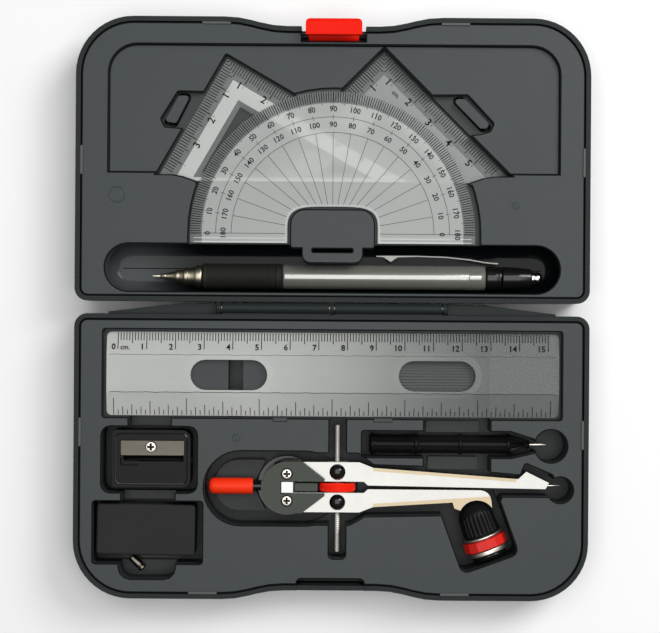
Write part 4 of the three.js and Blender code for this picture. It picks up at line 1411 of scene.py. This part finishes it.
@dataclass
class Pencil:
    """Mechanical pencil with a ringed grip, a smoked barrel round its lead tube, a clip and a push button."""

    ring_pitch: float = 0.62
    ring_depth: float = 0.16

    def __post_init__(self) -> None:
        """Finds the axis."""
        self.origin = line_of("pencil_barrel")

    def part(
        self, node: str, profile: Points, finish: Finish, slot: str, ease: float = 0.2, step: float = 0.0,
        relief: Relief | None = None, sides: int = 48,
    ) -> None:
        """Builds one turned part of the pencil in place of its CAD node.

        Args:
            node: the CAD node.
            profile: points (x, radius).
            finish: the part's finish.
            slot: not used.
            ease: rounding of the profile's corners.
            step: spacing of added points, or 0.
            relief: what is added to the radius.
            sides: steps round the axis.
        """
        points = eased(profile, ease)
        points = dense(points, step) if step else points
        turned_piece(node, finish, slot, points, self.origin, (1, 0, 0), sides, relief)

    def rings(self, t: np.ndarray, angle: np.ndarray) -> np.ndarray:
        """Rings of the grip: a cosine along the pencil that fades out at both ends."""
        fade = np.clip((t + 44.6) / 0.6, 0, 1) * np.clip((-20.6 - t) / 0.6, 0, 1)
        return -self.ring_depth * fade * (0.5 + 0.5 * np.cos(2 * math.pi * t / self.ring_pitch)) + 0 * angle

    def build(self) -> None:
        """Builds every part of the pencil."""
        sleeve = [(-63.3, 0), (-63.3, 0.38), (-60.6, 0.5), (-60.6, 0)]
        self.part("pencil_lead_sleeve", sleeve, WARM_NICKEL, "steel", 0.08)
        self.part("pencil_tip_cone", [
            (-60.3, 0), (-60.3, 0.8), (-58.9, 1.1), (-58.7, 0.95), (-55.4, 1.75), (-55.1, 2.15), (-54.2, 2.3),
            (-54.0, 2.15), (-52.3, 2.6), (-52.1, 3.0), (-50.9, 3.15), (-50.7, 2.95), (-48.2, 3.45),
            (-48.0, 3.85),
            (-46.5, 4.0), (-45.9, 3.9), (-45.9, 0),
        ], CONE_STEEL, "nickel", 0.1)
        self.part("pencil_grip", [
            (-45.6, 0), (-45.6, 4.25), (-45.2, 4.6), (-20.5, 4.6), (-20.3, 4.25), (-19.9, 4.25),
            (-19.7, 4.62),
            (-18.1, 4.62), (-17.7, 4.35), (-17.7, 0),
        ], GRIP_RUBBER, "grip_rubber", 0.12, self.ring_pitch / 6, self.rings, 40)
        self.part("pencil_barrel", [
            (-17.4, 0), (-17.4, 3.9), (-16.9, 4.25), (53.4, 4.25), (53.8, 4.0), (53.8, 0),
        ], SMOKE, "smoke_plastic", 0.15)
        tube = eased([(-16.8, 0), (-16.8, 3.3), (48.0, 3.3), (48.3, 2.4), (52.5, 2.4), (52.5, 0)], 0.1)
        Surface().grid(turned(tube, self.origin, (1, 0, 0), 32)).piece(
            "pencil_lead_tube", BRIGHT_STEEL, "pencil", "steel",
        )
        self.part("pencil_trim_ring", [
            (54.1, 0), (54.1, 3.9), (54.5, 4.2), (58.0, 4.15), (58.2, 3.9), (58.6, 3.9), (58.8, 4.1),
            (59.4, 4.0),
            (59.4, 0),
        ], GLOSS_BLACK, "black_plastic", 0.12)
        self.part("pencil_end_cap", [
            (59.7, 0), (59.7, 3.8), (60.1, 4.1), (66.0, 3.75), (69.7, 3.3), (70.2, 3.1), (70.2, 2.75),
            (64.9, 2.72),
            (64.9, 0),
        ], GLOSS_BLACK, "black_plastic", 0.3)
        self.part("pencil_push_button", [
            (67.9, 0), (67.9, 2.3), (70.9, 2.32), (71.1, 2.1), (71.5, 2.1), (71.7, 2.3), (72.9, 2.2),
            (73.7, 1.6),
            (74.0, 0.7), (74.0, 0),
        ], BRIGHT_STEEL, "steel", 0.35)
        softened("pencil_clip", CLIP_STEEL, 0.22, 3)


@dataclass
class Pricker:
    """Black handle with three rings of sunk panels, a finned neck and a needle."""

    panels: tuple[float, ...] = (14.6, 29.9, 45.4, 62.2)
    depth: float = 0.75

    def __post_init__(self) -> None:
        """Finds the axis."""
        self.origin = line_of("pricker_handle")

    def relief(self, t: np.ndarray, angle: np.ndarray) -> np.ndarray:
        """Four panels in each ring, and sixteen fins.

        A panel is a product of ramps in angle and along the handle, fins are |cos(8 angle)|, and the body is
        flattened between the panels by 0.3 (1 - cos(4 angle)) / 2.
        """
        turn = np.abs((angle + math.pi / 4) % (math.pi / 2) - math.pi / 4)
        wide = np.clip((0.40 - turn) / 0.06 + 0.5, 0, 1)
        sunk = sum(
            np.clip((t - start - 0.5) / 0.25, 0, 1) * np.clip((end - 0.5 - t) / 0.25, 0, 1)
            for start, end in zip(self.panels, self.panels[1:])
        )
        neck = np.clip((t - self.panels[-1] - 0.3) / 0.5, 0, 1) * np.clip((69.2 - t) / 1.5, 0, 1)
        flat = 0.3 * (1 - np.cos(4 * angle)) / 2
        return -self.depth * wide * sunk - 0.5 * neck * np.abs(np.cos(8 * angle)) - flat * (1 - neck)

    def build(self) -> None:
        """Builds the handle and its needle."""
        handle = dense(eased([
            (13.4, 0), (13.4, 2.9), (14.2, 3.7), (62.2, 3.7), (66.0, 2.4), (69.7, 1.3), (69.7, 0.97),
            (66.6, 0.97),
            (66.6, 0),
        ], 0.25), 0.3)
        along = (1, 0, 0)
        turned_piece(
            "pricker_handle", SATIN_BLACK, "black_plastic", handle, self.origin, along, 96, self.relief,
        )
        needle = eased([(67.0, 0), (67.0, 0.58), (72.2, 0.58), (75.6, 0.12), (75.9, 0)], 0.15)
        turned_piece("pricker_needle", WARM_NICKEL, "steel", needle, self.origin, along, 24)


def spare_point() -> None:
    """Builds the spare point: a short turned slug with a slotted end."""
    low, high = extent("spare_point")
    centre = (low + high) / 2
    profile = eased([
        (-3, 0), (-3, 1.15), (-2.6, 1.38), (1.3, 1.38), (1.5, 1.1), (1.9, 1.1), (2.1, 1.38), (2.7, 1.38),
        (3, 1.1),
        (3, 0.5), (2.4, 0.45), (2.4, 0),
    ], 0.12)
    turned_piece("spare_point", DARK_STEEL, "steel", profile, centre, (1, -1, 0), 32)


# ---- Compass ----


@dataclass
class Compass:
    """Bow compass: head, two legs, threaded spindle with its wheel, and the adaptor on the knee."""

    thread_pitch: float = 0.7
    thread_depth: float = 0.2
    knurls: int = 54
    flutes: int = 22
    facets: int = 14
    strip_line: tuple[tuple[float, float], tuple[float, float]] = ((14.8, 5.7), (65.0, 2.2))
    clamp_radius: float = 7.86
    tilt: float = math.radians(-70)

    def __post_init__(self) -> None:
        """Finds the centre line, the spindle and the knee."""
        low, high = extent("compass_wheel")
        self.wheel_centre = (low + high) / 2
        self.wheel_radius = (high - low)[2] / 2
        self.axis_height = self.wheel_centre[2]
        knee = extent("adaptor_barrel")
        self.away = np.array([math.cos(self.tilt), math.sin(self.tilt), 0.0])
        self.knee = np.array([51.36, -73.5, (knee[0][2] + knee[1][2]) / 2])

    def head(self) -> None:
        """Builds the handle cap, the two halves of the head, the screws and the tag."""
        low, high = extent("compass_handle_cap")
        line = np.array([0, (low[1] + high[1]) / 2, self.axis_height])
        cap = eased([
            (low[0], 0), (low[0], 1.5), (low[0] + 0.5, 2.45), (low[0] + 1.6, 2.88), (high[0] - 0.6, 2.88),
            (high[0], 2.6), (high[0], 2.2), (low[0] + 2.0, 2.2), (low[0] + 2.0, 0),
        ], 0.3)
        turned_piece("compass_handle_cap", CAP_RED, "red_plastic", cap, line, (1, 0, 0))
        softened("compass_head_back", GLOSS_BLACK, 0.3)
        softened("compass_head_front", HEAD_GREY, 0.25)
        softened("compass_head_tag", TAG_WHITE, 0.15)
        for name in ("upper", "lower"):
            node = f"compass_pivot_screw_{name}"
            low, high = extent(node)
            centre = tuple((low + high)[:2] / 2)
            CrossHead(centre, low[2], high[2], 1.78).build(node, "compass_head", "nickel")

    def strips(self, copy: bmesh.types.BMesh) -> None:
        """Cuts a strip along the outer edge of a leg's top and gives it the second finish, a darker, warmer
        nickel painted as a bevel's reflection.
        """
        middle = self.wheel_centre[1]
        side = 1 if np.mean([vertex.co.y for vertex in copy.verts]) > middle * MM else -1
        (x0, y0), (x1, y1) = self.strip_line
        inside = np.array([x0, middle + side * y0, 0])
        along = unit([x1 - x0, side * (y1 - y0), 0])
        outward = side * np.array([-along[1], along[0], 0])
        for point, normal in ((inside, outward), (inside, (1, 0, 0)), ((x1, 0, 0), (1, 0, 0))):
            cut(copy, point, normal)
        for face in copy.faces:
            centre = np.array(face.calc_center_median()) / MM
            if face.normal.z > 0.9 and (centre - inside) @ outward > 0 and x0 < centre[0] < x1:
                face.material_index = 1

    def legs(self) -> None:
        """Builds the two legs and the needle."""
        for name in ("needle", "adaptor"):
            softened(f"compass_{name}_arm", NICKEL, 0.4, 2, self.strips, NICKEL_PAINTED_REFLECTION)
        low, high = extent("compass_needle")
        line = np.array([0, (low[1] + high[1]) / 2, self.axis_height])
        needle = eased([(low[0], 0), (low[0], 0.52), (77.6, 0.52), (80.8, 0.14), (high[0], 0)], 0.15)
        turned_piece("compass_needle", BRIGHT_STEEL, "steel", needle, line, (1, 0, 0), 24)

    def thread(self, t: np.ndarray, angle: np.ndarray) -> np.ndarray:
        """Screw thread: a triangle wave of t / pitch - angle / 2 pi."""
        phase = (t / self.thread_pitch - angle / (2 * math.pi)) % 1
        return -self.thread_depth * np.abs(2 * phase - 1)

    def knurling(self, t: np.ndarray, angle: np.ndarray) -> np.ndarray:
        """Crossed knurling: the larger of two triangle waves that slant opposite ways, none on the faces."""
        round_rim, slant = angle * self.knurls / (2 * math.pi), t * 1.1
        waves = [np.abs(2 * ((round_rim + sign * slant) % 1) - 1) for sign in (-1, 1)]
        return -0.5 * np.maximum(*waves) * (np.abs(t) < 1.45)

    def spindle(self) -> None:
        """Builds the threaded spindle and its knurled wheel."""
        low, high = extent("compass_spindle")
        line = np.array([self.wheel_centre[0], 0, self.axis_height])
        ends = [
            (low[1], 0), (low[1], 0.7), (low[1] + 0.3, 0.9), (high[1] - 0.3, 0.9), (high[1], 0.7),
            (high[1], 0),
        ]
        rod = dense(ends, self.thread_pitch / 6)
        turned_piece("compass_spindle", SPINDLE_NICKEL, "nickel", rod, line, (0, 1, 0), 20, self.thread)
        half, ease, radius = 1.5, 0.3, self.wheel_radius
        disc = np.array([
            (-half, 1.2), (-half, 2.6), (-half + ease, 2.9), (-half + ease, radius - 1.4),
            (-half, radius - 1.1),
            (-half, radius - 0.4), (-half + ease, radius), *((t, radius) for t in np.linspace(-1.0, 1.0, 9)),
            (half - ease, radius), (half, radius - 0.4), (half, radius - 1.1), (half - ease, radius - 1.4),
            (half - ease, 2.9), (half, 2.6), (half, 1.2), (-half, 1.2),
        ])

        def rim_only(t: np.ndarray, angle: np.ndarray) -> np.ndarray:
            """The knurling on the rim's rows alone."""
            return self.knurling(t, angle) * (disc[:, 1:] > radius - 0.05)

        turned_piece(
            "compass_wheel", WHEEL_RED, "red_plastic", disc, self.wheel_centre, (0, 1, 0), self.knurls * 4,
            rim_only,
        )

    def nuts(self) -> None:
        """Builds the two domed nuts and the yoke."""
        crown = 1.6
        for name in ("upper", "lower"):
            node = f"compass_nut_{name}"
            low, high = extent(node)
            rise, radius = high[2] - low[2], (high[0] - low[0]) / 2
            angle = np.linspace(0, math.pi / 2, 9)[:-1]
            dome = [(rise - crown + crown * math.sin(a), radius * math.cos(a)) for a in angle]
            profile = [(0, 0), (0, radius - 0.3), (0.3, radius), *dome, (rise, 0)]
            foot = (*(low + high)[:2] / 2, low[2])
            turned_piece(node, GLOSS_BLACK, "black_plastic", profile, foot, UP, 40)
        softened("compass_yoke", HEAD_GREY, 0.25)

    def flutes_round(self, t: np.ndarray, angle: np.ndarray) -> np.ndarray:
        """Flutes of the adaptor's barrel: 1 - |cos| narrow grooves that fade out on the dome."""
        fade = np.clip((t + 2.6) / 1.6, 0, 1) * np.clip((5.3 - t) / 0.3, 0, 1)
        return -0.42 * fade * (1 - np.abs(np.cos(angle * self.flutes / 2)) ** 0.6)

    def flats(self, t: np.ndarray, angle: np.ndarray) -> np.ndarray:
        """Flats of the clamp ring: r cos(step / 2) / cos(angle from the flat's middle), less the round r."""
        step = 2 * math.pi / self.facets
        off = (angle + step / 2) % step - step / 2
        return self.clamp_radius * (np.cos(step / 2) / np.cos(off) - 1) + 0 * t

    def adaptor(self) -> None:
        """Builds the adaptor about its own axis, from the knee outwards."""
        angle = np.linspace(0, math.pi / 2, 10)
        dome = list(zip(-6.2 * np.cos(angle), 6.2 * np.sin(angle)))
        bore = 4.2
        barrel = [*dome, (5.4, 6.5), (5.8, 6.3), (5.8, bore), (-1.5, bore), (-1.5, 0)]
        turned_piece(
            "adaptor_barrel", SATIN_BLACK, "black_plastic", dense(barrel, 0.4), self.knee, self.away, 176,
            self.flutes_round,
        )
        ferrule = eased([
            (6.1, bore), (6.1, 6.7), (6.3, 6.95), (6.7, 6.95), (6.8, 6.8), (6.8, 5.3), (11.0, 5.3),
            (11.0, 6.8),
            (11.2, 6.9), (12.3, 6.9), (12.6, 6.6), (12.6, bore), (6.1, bore),
        ], 0.08)
        turned_piece("adaptor_ferrule", WARM_NICKEL, "nickel", ferrule, self.knee, self.away, 64)
        jaw = eased([
            (12.9, bore), (12.9, 6.1), (13.2, 6.2), (14.2, 5.7), (14.4, 5.4), (14.4, bore), (12.9, bore),
        ], 0.1)
        turned_piece("adaptor_jaw", GLOSS_BLACK, "black_plastic", jaw, self.knee, self.away)

    def clamp_ring(self) -> None:
        """Builds the faceted clamp ring."""
        low, high, radius = 7.1, 10.7, self.clamp_radius
        ring = np.array([
            (low, 5.8), (low, 7.5), (low + 0.3, radius), (high - 0.3, radius), (high, 7.5), (high, 5.8),
            (low, 5.8),
        ])

        def outside_only(t: np.ndarray, angle: np.ndarray) -> np.ndarray:
            """The flats on the ring's outer rows alone."""
            return self.flats(t, angle) * (ring[:, 1:] > 6)

        piece = turned_piece(
            "adaptor_clamp_ring", RING_RED, "red_plastic", ring, self.knee, self.away, self.facets * 8,
            outside_only,
        )
        piece.data.set_sharp_from_angle(angle=math.radians(12))

    def build(self) -> None:
        """Builds the whole compass."""
        self.head()
        self.legs()
        self.spindle()
        self.nuts()
        self.adaptor()
        self.clamp_ring()


# ---- Stage ----


@dataclass
class Stage:
    """Pale floor, soft light and the camera straight above."""

    view_width: float = 229.2
    view_centre: tuple[float, float] = (-0.69, -2.78)
    distance: float = 600.0
    turn: float = 0.4
    sky: float = 0.16
    floor_half: float = 1500.0

    def floor(self) -> None:
        """Builds the floor, a flat grid three metres wide."""
        side = np.linspace(-self.floor_half, self.floor_half, 9)
        x, y = np.meshgrid(side, side)
        mesh = Surface().grid(np.stack([x, y, 0 * x], -1)).mesh("floor", turn_out=False)
        mesh.materials.append(FLOOR_PALE.material())
        linked("floor", mesh)

    @staticmethod
    def lamp(name: str, place: tuple[float, float, float], width: float, power: float) -> None:
        """A square lamp that faces the middle of the object.

        Args:
            name: its name.
            place: its centre, in millimetres.
            width: its side, in millimetres.
            power: its power, in watts.
        """
        light = bpy.data.lights.new(name, "AREA")
        light.shape = "SQUARE"
        light.size = width * MM
        light.energy = power
        lamp = linked(name, light)
        centre = np.array(place) * MM
        lamp.location = centre
        back = unit(centre)
        side = unit(np.cross(UP, back)) if abs(back[2]) < 0.999 else np.array([1.0, 0.0, 0.0])
        columns = np.stack([side, np.cross(back, side), back])
        lamp.rotation_euler = Matrix(columns.T.tolist()).to_euler()

    def camera(self) -> None:
        """Places the camera so that view_width fills the picture at the height of the case's rim."""
        data = bpy.data.cameras.new("camera")
        data.sensor_fit = "HORIZONTAL"
        data.lens = data.sensor_width * self.distance / self.view_width
        data.dof.use_dof = False
        data.clip_end = 20
        camera = linked("camera", data)
        camera.location = (self.view_centre[0] * MM, self.view_centre[1] * MM, (RIM + self.distance) * MM)
        camera.rotation_euler = (0, 0, math.radians(self.turn))
        bpy.context.scene.camera = camera

    def build(self) -> None:
        """Builds the floor, lamps, sky and camera."""
        self.floor()
        self.lamp("overhead softbox", (0, 60, 1050), 950, 8.0)
        self.lamp("key softbox", (520, 420, 720), 420, 5.2)
        world = bpy.data.worlds.new("sky")
        world.use_nodes = True
        world.node_tree.nodes["Background"].inputs["Color"].default_value = (1, 1, 1, 1)
        world.node_tree.nodes["Background"].inputs["Strength"].default_value = self.sky
        bpy.context.scene.world = world
        bpy.context.scene.view_settings.view_transform = "Standard"
        bpy.context.scene.cycles.transparent_max_bounces = 32
        self.camera()


def main() -> None:
    """Builds the set piece by piece."""
    logging.basicConfig(level=logging.INFO, format="%(name)s: %(message)s")
    Stage().build()
    Case().build()
    SetSquare("set_square_45", CLEAR_SQUARE_45, 16.0, (45, 45), 1, unit_name=True).build()
    SetSquare("set_square_60", CLEAR_SQUARE_60, 12.4, (60, 30), -1).build()
    Protractor().build()
    Ruler().build()
    Pencil().build()
    Sharpener().build()
    softened("eraser", ERASER_BLACK, 0.5, 3)
    Pricker().build()
    spare_point()
    Compass().build()


if __name__ == "__main__":
    main()
